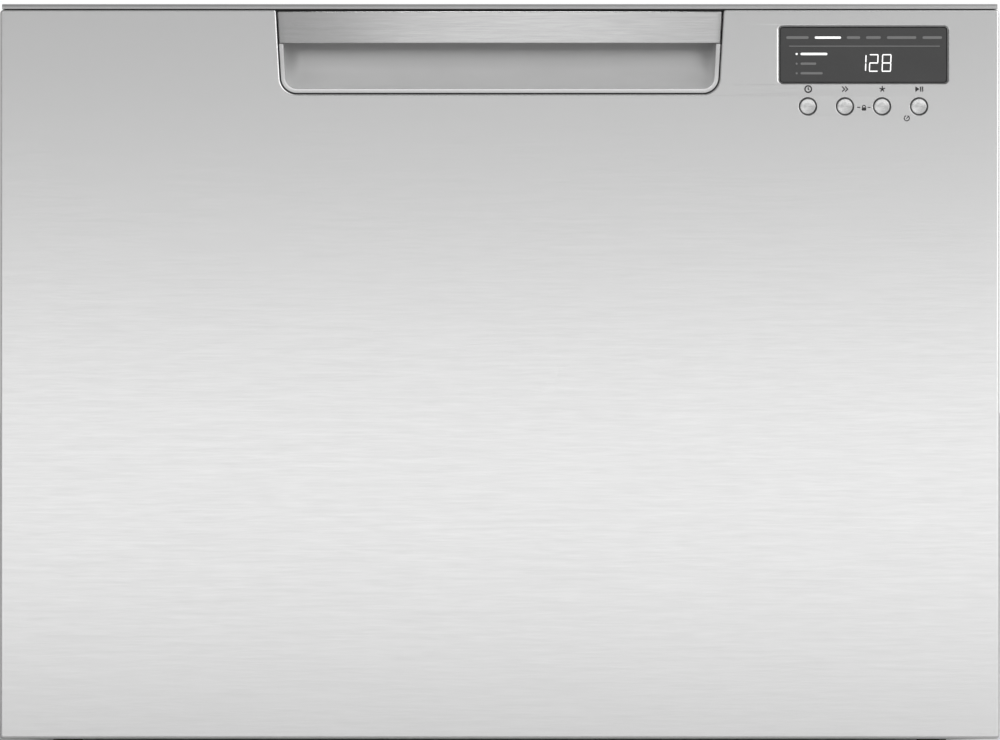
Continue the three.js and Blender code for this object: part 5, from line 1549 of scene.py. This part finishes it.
# ================================================================== sheet-metal chassis
def pressed(b, outline, w0, w1, plane, beads=(), holes=(), edge=0.3, dish=0.0):
    """Sheet between w0 (inside) and w1 (outside), with smooth beads pressed in it.

    Each bead is (outline, height, width of its slope); holes get a rounded edge."""
    ol = ccw(outline)
    n = 2
    sgn = 1.0 if w1 > w0 else -1.0
    up = [(edge * (1 - math.sin(math.pi / 2 * k / n)), edge * (1 - math.cos(math.pi / 2 * k / n))) for k in range(n + 1)]
    prof = [(d, w0 + sgn * h) for d, h in up] + [(d, w1 - sgn * h) for d, h in reversed(up)]
    outer = [[plane(p.x, p.y, w) for p in inset(ol, d)] for d, w in prof]
    b.rows(outer, True)
    f0, f1 = [outer[0]], [outer[-1]]
    for h in holes:
        hl = ccw(h)
        loops = [[plane(p.x, p.y, w) for p in inset(hl, -d)] for d, w in prof]
        b.rows(loops, True)
        f0.append(loops[0])
        f1.append(loops[-1])
    for loop, hgt, wid in beads:
        l = ccw(loop)
        m = 7
        for base, faces in ((w0, f0), (w1, f1)):
            rows = []
            for k in range(m + 1):
                u = k / m
                rows.append([plane(p.x, p.y, base + sgn * hgt * (u * u * (3 - 2 * u))) for p in inset(l, wid * u)])
            b.rows(rows, True)
            b.fill(rows[-1])
            faces.append(rows[0])
    b.fill(*f0)
    b.fill(*f1)
    return b


def profile(b, pts, r, a0, a1, plane, n=4, edge=0.15):
    b.slab(fillet(pts, r, n), a0, a1, plane, edge, 2)


for s, side in ((-1, "left"), (1, "right")):
    node = f"chassis_side_{side}"
    out_plane = lambda u, v, w, s=s: (s * w, u, v)
    b = Build()
    pressed(
        b,
        rect(-250.0, 269.4, 14.7, 452.7, 0.4, 3),
        294.815,
        295.985,
        out_plane,
        [
            (rect(-205, 225, 96, 124, 12, 8), 1.95, 5.5),
            (rect(-205, 225, 206, 234, 12, 8), 1.95, 5.5),
        ],
        [ring(y, z, 3.0, 32) for y in (-232, 240) for z in (60, 436)],
    )
    for z0, z1 in ((14.1, 299.9), (360.1, 451.6)):
        profile(
            b,
            [(s * 286, -254), (s * 296, -254), (s * 296, -240), (s * 294.8, -240), (s * 294.8, -252.8), (s * 286, -252.8)],
            [0.25, 1.5, 0.05, 0.05, 0.4, 0.25],
            z0,
            z1,
            XY,
        )
    b.box(*sorted((s * 294.8, s * 296)), -254, -240, 299.0, 361.0, 0.25)
    profile(
        b,
        [(s * 279, 14.0), (s * 295.99, 14.0), (s * 295.99, 28), (s * 294.81, 28), (s * 294.81, 15.2), (s * 279, 15.2)],
        [0.25, 1.5, 0.05, 0.05, 0.4, 0.25],
        -253.9,
        269.9,
        XZ,
    )
    profile(
        b,
        [(s * 295.995, 256), (s * 295.995, 270), (s * 294.805, 270), (s * 294.805, 256)],
        [0.05, 0.4, 0.4, 0.05],
        14.3,
        452.95,
        XY,
    )
    for y in (-200, 20, 160):
        dome(b, s * 295.9, y, 330, "X", s, 4.2, 0.55)
    for z in (80, 170, 270):
        dome(b, s * 295.95, -246, z, "X", s, 2.6, 0.22, 16)
    make(f"side_sheet_{side}", b, GALV, node, stands_for=(node,), angle=28)
    b = Build()
    for z in (36, 150, 270, 390):
        hexhead(b, s * 296, 264, z, "X", s, 2.6, 1.7, 3.9)
    for y in (-120, 110):
        hexhead(b, s * 296, y, 447.6, "X", s, 2.6, 1.7, 3.9)
    for y in (-225, 245):
        hexhead(b, s * 296, y, 32, "X", s, 2.6, 1.7, 3.9)
    make(f"side_screws_{side}", b, SCREW, node)

b = Build()
pressed(
    b,
    rect(-294.4, 294.4, -251.0, 266.0, 0.4, 3),
    451.815,
    452.985,
    XY,
    [(rect(x0, x1, -215, 240, 14, 8), -1.15, 5.0) for x0, x1 in ((-270, -10), (10, 270))],
)
profile(b, [(-254, 443.5), (-252.8, 443.5), (-252.8, 451.8), (-238, 451.8), (-238, 453), (-254, 453)], [0.2, 0.2, 0.4, 0.05, 0.05, 1.4], -294.4, 294.4, YZ)
for s in (-1, 1):
    profile(
        b,
        [(s * 294.5, 443), (s * 293.3, 443), (s * 293.3, 451.81), (s * 284, 451.81), (s * 284, 452.995), (s * 294.5, 452.995)],
        [0.2, 0.2, 0.4, 0.05, 0.05, 1.4],
        -253.0,
        268.6,
        XZ,
    )
profile(b, [(262.0, 451.8), (268.6, 451.8), (268.6, 452.99), (262.0, 452.99)], [0.05, 0.3, 0.3, 0.05], -293, 293, YZ)
make("top_sheet", b, GALV, "chassis_top", stands_for=("chassis_top",), angle=28)
b = Build()
for x in (-281, 281):
    for y in (-235, -110, 20, 150, 254):
        dome(b, x, y, 453, "Z", 1, 3.4, 0.65)
for x in (-140, 0, 140):
    dome(b, x, 254, 453, "Z", 1, 3.4, 0.65)
make("top_rivets", b, SCREW, "chassis_top")

b = Build()
back_plane = lambda u, v, w: (u, w, v)
pressed(
    b,
    rect(-292.5, 292.5, 16.0, 452.6, 1.0, 3),
    268.815,
    269.985,
    back_plane,
    [(rect(-230, 230, 150, 400, 22, 10), 2.6, 7.0)],
    [ring(222, 48, 15, 48), ring(150, 48, 13, 48), ring(-185, 50, 12.5, 48)] + [rect(-60 + 16 * k, -52 + 16 * k, 60, 110, 3.4, 5) for k in range(4)],
)
for s in (-1, 1):
    profile(
        b,
        [(s * 294.5, 258), (s * 294.5, 270), (s * 280, 270), (s * 280, 268.8), (s * 293.3, 268.8), (s * 293.3, 258)],
        [0.2, 1.4, 0.05, 0.05, 0.4, 0.2],
        15.6,
        452.9,
        XY,
    )
make("back_sheet", b, GALV, "chassis_back", stands_for=("chassis_back",), angle=28)
b = Build()
for x in (-287, 287):
    for z in (60, 200, 340, 430):
        hexhead(b, x, 270, z, "Y", 1, 2.8, 2.0, 4.2)
for x in (-200, -70, 70, 200):
    hexhead(b, x, 270, 440, "Y", 1, 2.8, 2.0, 4.2)
    hexhead(b, x, 270, 26, "Y", 1, 2.8, 2.0, 4.2)
for x, z in ((-205, 66), (-165, 66), (202, 66), (242, 66)):
    hexhead(b, x, 270, z, "Y", 1, 2.4, 1.8, 3.8)
make("back_screws", b, SCREW, "chassis_back")

# ---- leak tray with its foot bosses, and a float in its low corner
finer("base_tray", "leak_tray", TRAY, 0.45)
b = Build()
for x in (-180, -90, 0, 90, 180):
    b.box(x - 1.1, x + 1.1, -249, 264.5, 17.6, 20.6, 0.4)
for y in (-190, -60, 60, 180):
    b.box(-290.5, 290.5, y - 1.1, y + 1.1, 17.6, 20.4, 0.4)
for sx in (-1, 1):
    for y in (-222, 238):
        for k in range(6):
            o = len(b.v)
            b.slab([(13.5, 17.8), (20.0, 17.8), (13.5, 32.0)], -0.9, 0.9, lambda u, v, w: (u, w, v), 0.25)
            b.turn(o, Matrix.Translation((sx * 262, y, 0)) @ Matrix.Rotation(math.pi * k / 3 + 0.2, 4, "Z"))
make("tray_ribs", b, TRAY, "base_tray")

# ---- levelling feet: ribbed pad, hexagon and threaded stud
for fb, y in (("front", -222.0), ("rear", 238.0)):
    for side, x in (("left", -262.0), ("right", 262.0)):
        b = Build()
        b.lathe([(0, 0), (18, 0), (20, 1.6), (20, 4.5), (18.6, 5.3), (12, 6.4), (0, 6.4)], 56, (x, y, 0), "Z", 0.5)
        for k in range(10):
            o = len(b.v)
            b.slab([(8.5, 5.4), (18.3, 4.6), (8.5, 9.6)], -0.8, 0.8, lambda u, v, w: (u, w, v), 0.25)
            b.turn(o, Matrix.Translation((x, y, 0)) @ Matrix.Rotation(2 * math.pi * k / 10, 4, "Z"))
        b.slab(ring(x, y, 8.9, 6), 6.0, 12.5, XY, 0.7, 3)
        make(f"foot_{fb}_{side}_pad", b, FOOT, f"foot_{fb}_{side}", stands_for=(f"foot_{fb}_{side}",))
        b = Build()
        b.lathe([(0, 12.0), (4.2, 12.0), (4.2, 36.6), (3.4, 38.0), (0, 38.0)], 32, (x, y, 0), "Z", 0.3)
        turns = 15
        b.tube(
            [
                (x + 4.25 * math.cos(2 * math.pi * i / 20), y + 4.25 * math.sin(2 * math.pi * i / 20), 13.2 + 23.0 * i / (20 * turns))
                for i in range(20 * turns + 1)
            ],
            0.5,
            6,
        )
        make(f"foot_{fb}_{side}_stud", b, ZINC, f"foot_{fb}_{side}", weight=False)

# ---- water inlet valve
b = Build()
vx, vz = 222.0, 48.0
b.box(204, 240, 232, 262, 28, 64.5, 1.6, 3)
b.lathe([(0, 0), (12, 0), (12, 8), (13.1, 8.8), (13.1, 10), (12.2, 10.4), (12.2, 24.6), (11.6, 25.5), (9, 25.5), (9, 14), (0, 14)], 64, (vx, 261, vz), "Y", 0.3)
turns = 8
b.tube(
    [
        (vx + 12.25 * math.cos(2 * math.pi * i / 40), 261 + 10.8 + 13.0 * i / (40 * turns), vz + 12.25 * math.sin(2 * math.pi * i / 40))
        for i in range(40 * turns + 1)
    ],
    0.8,
    8,
)
for k in range(4):
    a = math.pi * k / 2 + 0.4
    o = len(b.v)
    b.box(2.5, 8.8, -0.7, 0.7, -0.8, 0.8, 0.3)
    b.turn(o, Matrix.Translation((vx, 275.8, vz)) @ Matrix.Rotation(a, 4, "Y"))
b.lathe([(0, -0.6), (3.2, -0.6), (3.2, 1.4), (0, 1.8)], 24, (vx, 275.2, vz), "Y", 0.4)
b.box(214, 230, 216, 233, 40, 56, 1.4, 3)
for x in (206.5, 237.5):
    b.box(x - 1.0, x + 1.0, 233, 261, 29.5, 66.0, 0.4)
b.lathe([(0, 0), (7, 0), (7, 9), (0, 9)], 32, (222, 247, 60), "Z", 0.4)
make("valve_body", b, WHITE, "inlet_valve", stands_for=("inlet_valve",))
b = Build()
for i in range(11):
    b.lathe([(7.5, i * 1.05 - 0.52), (12.0, i * 1.05 - 0.52), (12.0, i * 1.05 + 0.52), (7.5, i * 1.05 + 0.52)], 40, (222, 247, 68.6), "Z", 0.5, 4, True)
make("valve_coil", b, COPPER, "inlet_valve", weight=False)
b = Build()
b.lathe([(6.8, 65.0), (13, 65.0), (13, 67.4), (6.8, 67.4)], 48, (222, 247, 0), "Z", 0.3, 3, True)
b.lathe([(0, 79.9), (13, 79.9), (13, 82), (0, 82)], 48, (222, 247, 0), "Z", 0.4)
b.box(210, 234, 236.5, 238.5, 65, 81.2, 0.4)
b.box(210, 234, 255.5, 257.5, 65, 81.2, 0.4)
for x in (216, 224.5):
    b.box(x, x + 4.5, 232.2, 240, 76.5, 77.3, 0.2)
make("valve_bracket", b, ZINC, "inlet_valve")

# ---- waste spigot
b = Build()
b.lathe(
    [(7, 0), (10, 0), (10, 12), (16, 12), (16, 15), (11, 15), (11, 26), (12, 27), (10.6, 35), (12, 36), (10.2, 43.5), (7, 43.5)],
    72,
    (150, 243, 48),
    "Y",
    0.35,
    3,
    True,
)
for k in range(8):
    o = len(b.v)
    b.slab([(9.5, 15.0), (15.2, 15.0), (9.5, 24.0)], -0.8, 0.8, lambda u, v, w: (u, v, w), 0.25)
    b.turn(o, Matrix.Translation((150, 243, 48)) @ Matrix.Rotation(2 * math.pi * k / 8 + 0.3, 4, "Y"))
for k in range(2):
    o = len(b.v)
    b.slab(ring(0, 0, 2.4, 20), 11.5, 16.0, lambda u, v, w: (13.2 + u, w, v), 0.4)
    b.turn(o, Matrix.Translation((150, 243, 48)) @ Matrix.Rotation(math.pi * k, 4, "Y"))
make("waste_spigot", b, CARRIER, "drain_connector", stands_for=("drain_connector",))

# ---- terminal box with its cable gland
b = Build()
b.slab(rect(-224, -146, 24, 76, 3, 5), 232.4, 263.5, XZ, 1.0, 3)
b.slab(rect(-222.5, -147.5, 25.5, 74.5, 3, 5), 230.0, 232.8, XZ, 0.9, 3)
b.lathe([(0, 261.8), (12.2, 261.8), (12.2, 264.0), (11.5, 264.2), (11.5, 276), (0, 276)], 64, (-185, 0, 50), "Y", 0.3)
for k in range(24):
    a = 2 * math.pi * k / 24
    o = len(b.v)
    b.box(11.0, 11.9, -0.5, 0.5, 266.5, 274.8, 0.2)
    b.turn(o, Matrix.Translation((-185, 0, 50)) @ Matrix.Rotation(a, 4, "Y") @ Matrix(((1, 0, 0, 0), (0, 0, 1, 0), (0, 1, 0, 0), (0, 0, 0, 1))))
make("terminal_housing", b, MODULE, "terminal_box", stands_for=("terminal_box",))
b = Build()
b.slab(ring(-185, 50, 9.4, 6, 0.3), 275.4, 284, XZ, 0.8, 3, [ring(-185, 50, 5.0, 32)], 0.5)
b.lathe([(5.0, 276.0), (5.6, 276.0), (5.6, 279), (5.0, 279)], 32, (-185, 0, 50), "Y", 0.2, 2, True)
make("gland_nut", b, FOOT, "terminal_box")
b = Build()
for x, z in ((-218, 30), (-152, 30), (-218, 70), (-152, 70)):
    hexhead(b, x, 230.1, z, "Y", -1, 2.2, 1.6, 3.2)
make("terminal_screws", b, SCREW, "terminal_box")


# ================================================================== lid and its lift
def lid_rect(e, r=34.0, n=12):
    return rect(-272 + e, 272 - e, -253 + e, 238 - e, max(r - e, 2.0), n)


b = Build()
rows = []


def lid_row(e, z):
    rows.append([(p.x, p.y, z) for p in lid_rect(e)])


for e, z in ((1.2, 420.0), (0.35, 420.35), (0.0, 421.2), (0.0, 435.9), (0.3, 436.7), (1.1, 437.0), (1.9, 437.0), (2.7, 436.7), (3.0, 435.9)):
    lid_row(e, z)
for k in range(0, 7):
    a = math.pi / 2 * k / 6
    lid_row(3.0 + 5 * (1 - math.cos(a)), 428.5 - 5 * math.sin(a))
b.rows(rows, True)
b.fill(rows[0])
b.fill(rows[-1])
for x in (-180, -100, 0, 100, 180):
    b.box(x - 1.25, x + 1.25, -250.5, 235.5, 423.2, 434 if abs(x) == 100 else 429.5, 0.6)
for y in (-165, -86, -8, 74, 155):
    b.box(-269.5, 269.5, y - 1.25, y + 1.25, 423.2, 434 if y == -8 else 429.5, 0.6)
for s in (-1, 1):
    for y in (-185, 185):
        b.lathe([(0, 269.5), (3, 269.5), (3, 278.2), (0, 278.2)] if s > 0 else [(0, -278.2), (3, -278.2), (3, -269.5), (0, -269.5)], 24, (0, y, 430), "X", 0.5)
        x0, x1 = sorted((s * 262, s * 269.6))
        b.box(x0, x1, y - 9, y - 7, 423.2, 436.2, 0.5)
        b.box(x0, x1, y + 7, y + 9, 423.2, 436.2, 0.5)
make("tub_lid", b, LID, "lid", stands_for=("lid",))

b = Build()


def seal_rect(d, r):
    return rect(-270.5 + d, 270.5 - d, -255 + d + 0.0, 236 - d, max(r - d, 3), 12)


prof = [(0.0, 419.7), (0.0, 417.4), (0.6, 416.6), (1.2, 416.2), (0.9, 415.4), (1.4, 414.7), (2.8, 414.6), (3.8, 415.2), (4.2, 416.3), (6.0, 416.9), (7.2, 415.4), (8.4, 415.0), (9.6, 415.6), (9.8, 417.0), (11.2, 417.8), (12.2, 418.6), (12.3, 419.7)]
rows = [[(p.x, p.y, z) for p in seal_rect(d, 34)] for d, z in prof]
rows.append(rows[0])
b.rows(rows, True)
make("lid_gasket", b, SEAL, "lid_seal", stands_for=("lid_seal",), angle=50)

for fr in ("front", "rear"):
    for side in ("left", "right"):
        finer(f"lid_lever_{fr}_{side}", f"rocking_lever_{fr}_{side}", ZINC, 0.35)
for side, s in (("left", -1), ("right", 1)):
    finer(f"lid_drive_rod_{side}", f"lift_rod_{side}", ZINC, 0.3)
    finer(f"lid_motor_{side}", f"lift_motor_{side}", MOTOR, 0.6, 3)
    b = Build()
    cx = s * 284.0
    for y in (86, 124):
        b.lathe([(8.3, y), (8.85, y), (8.85, y + 3), (8.3, y + 3)], 40, (cx, 0, 426), "Y", 0.2, 2, True)
    for z in (414.5, 437.5):
        for y in (25, 77):
            hexhead(b, s * 275.5, y, z, "X", -s, 1.7, 1.2, 2.3)
    make(f"lift_motor_trim_{side}", b, ZINC, f"lid_motor_{side}")

# ---- folding hose arms, with the hoses and wires that lie in them
for part, z in (("lower", 86.5), ("upper", 104.5)):
    finer(f"hose_arm_{part}", f"hose_guide_{part}", BASKET, 0.4)
    b = Build()
    pts = lambda y, h, w=0.25: [(-222 + 444 * i / 30, 252 + y + w * math.sin(i * 0.9 + y), z + h) for i in range(31)]
    b.tube(pts(-2.1, 2.1), 1.85, 12)
    make(f"water_hose_{part}", b, HOSE_WHITE, f"hose_arm_{part}", angle=60, weight=False)
    b = Build()
    b.tube(pts(2.1, 2.1), 1.85, 12)
    make(f"waste_hose_{part}", b, HOSE_GREY, f"hose_arm_{part}", angle=60, weight=False)
    b = Build()
    b.tube(pts(0.0, 5.6, 0.35), 1.5, 12)
    make(f"wire_loom_{part}", b, LOOM, f"hose_arm_{part}", angle=60, weight=False)
    b = Build()
    for i in range(7):
        x = -200 + 66 * i
        b.box(x - 2, x + 2, 252 - 5.9, 252 + 5.9, z + 9.6, z + 11.4, 0.4)
    make(f"hose_clips_{part}", b, FOOT, f"hose_arm_{part}")


# ================================================================== light and camera
def area_light(name, loc, target, sx, sy, power, only=None, color=(1, 1, 1), spread=180, but=()):
    l = bpy.data.lights.new(name, "AREA")
    l.shape = "RECTANGLE"
    l.size, l.size_y = sx, sy
    l.energy = power
    l.color = color
    l.spread = math.radians(spread)
    o = bpy.data.objects.new(name, l)
    bpy.context.scene.collection.objects.link(o)
    o.location = loc
    o.rotation_euler = (Vector(target) - Vector(loc)).to_track_quat("-Z", "Y").to_euler()
    o.visible_camera = False
    if only:
        c = bpy.data.collections.new(name + "_lit")
        for x in only:
            c.objects.link(bpy.data.objects[x])
        o.light_linking.receiver_collection = c
    if but:
        c = bpy.data.collections.new(name + "_lit")
        for x in but:
            c.objects.link(bpy.data.objects[x])
        o.light_linking.receiver_collection = c
        for x in c.collection_objects:
            x.light_linking.link_state = "EXCLUDE"
    return o


world = bpy.data.worlds.new("studio")
bpy.context.scene.world = world
world.use_nodes = True
t = world.node_tree
t.nodes.clear()
out = t.nodes.new("ShaderNodeOutputWorld")
bg = t.nodes.new("ShaderNodeBackground")
tc = t.nodes.new("ShaderNodeTexCoord")
sep = t.nodes.new("ShaderNodeSeparateXYZ")
t.links.new(tc.outputs["Generated"], sep.inputs[0])


def ramp(value, stops):
    """A smooth level by direction: stops of (position from -1 to 1, level)."""
    m = t.nodes.new("ShaderNodeMapRange")
    m.inputs["From Min"].default_value = -1
    m.inputs["From Max"].default_value = 1
    t.links.new(value, m.inputs["Value"])
    r = t.nodes.new("ShaderNodeValToRGB")
    r.color_ramp.interpolation = "EASE"
    while len(r.color_ramp.elements) > 1:
        r.color_ramp.elements.remove(r.color_ramp.elements[-1])
    for i, (p, v) in enumerate(stops):
        e = r.color_ramp.elements[0] if i == 0 else r.color_ramp.elements.new((p + 1) / 2)
        e.position = (p + 1) / 2
        e.color = (v / 2, v / 2, v / 2, 1)
    t.links.new(m.outputs["Result"], r.inputs["Fac"])
    return calc(t, "MULTIPLY", r.outputs["Color"], 2.0)


side = ramp(sep.outputs["X"], [(-1, 0.42), (-0.55, 0.50), (-0.2, 0.64), (0.2, 0.665), (0.5, 0.98), (0.8, 1.22), (1, 1.25)])
rise = ramp(sep.outputs["Z"], [(-1, 0.8), (-0.1, 1.2), (0.1, 1.0), (0.35, 1.22), (0.65, 0.85), (1, 0.5)])
level = calc(t, "MULTIPLY", side, rise)
lp = t.nodes.new("ShaderNodeLightPath")
m = t.nodes.new("ShaderNodeMix")
m.data_type = "FLOAT"
t.links.new(lp.outputs["Is Camera Ray"], m.inputs[0])
t.links.new(level, m.inputs[2])
m.inputs[3].default_value = 1.0
t.links.new(m.outputs[0], bg.inputs["Color"])
t.links.new(bg.outputs[0], out.inputs["Surface"])

CAPS = [f"button_{name}_cap" for name, _ in BUTTONS]
area_light("soft_key", (1.6, -1.7, 1.9), (0, 0, 0.2), 2.9, 2.9, 26, but=["top_sheet", "top_rivets"])
area_light("strip", (0, -1.6, 0.155), (0, -0.2865, 0.155), 3.2, 0.3, 4.2, only=["front_skin"] + CAPS)
area_light("bar_glow", (0.007, -1.6, 0.485), (0.007, -0.2865, 0.485), 0.25, 0.57, 0.42, only=["grip_bar"])
area_light("bar_side", (0.196, -1.6, 0.485), (0.196, -0.2865, 0.485), 0.23, 0.57, 0.22, only=["grip_bar"])
area_light("bar_top", (0, -0.36, 0.95), (0, -0.2865, 0.45), 0.7, 0.2, 3.4, only=["grip_bar"])
area_light("panel_glint", (0.98, -0.93, 0.43), (0.167, -0.2865, 0.43), 0.3, 0.3, 1.2, only=["front_skin", "display_bezel"] + CAPS)
area_light("recess_fill", (-0.5, -2.6, 1.42), (0, -0.28, 0.42), 6.5, 1.5, 76, only=["hand_recess"])

me = bpy.data.meshes.new("floor")
me.from_pydata([(-40, -40, 0), (40, -40, 0), (40, 40, 0), (-40, 40, 0)], [], [(0, 1, 2, 3)])
floor = bpy.data.objects.new("floor", me)
bpy.context.scene.collection.objects.link(floor)
me.materials.append(finish_of("pale_studio_floor", grey(0.80), 0.7, 0.0, 0.01, 2.0, 0.00001, 300.0))

cam_data = bpy.data.cameras.new("camera")
cam_data.sensor_width = 36.0
cam_data.lens = 36.0 * 5.0 / 0.5993
cam_data.clip_end = 100.0
cam = bpy.data.objects.new("camera", cam_data)
bpy.context.scene.collection.objects.link(cam)
cam.location = (0.00015, -5.2865, 0.2346)
cam.rotation_euler = (math.pi / 2, 0, 0)
bpy.context.scene.camera = cam
bpy.context.scene.view_settings.view_transform = "Standard"
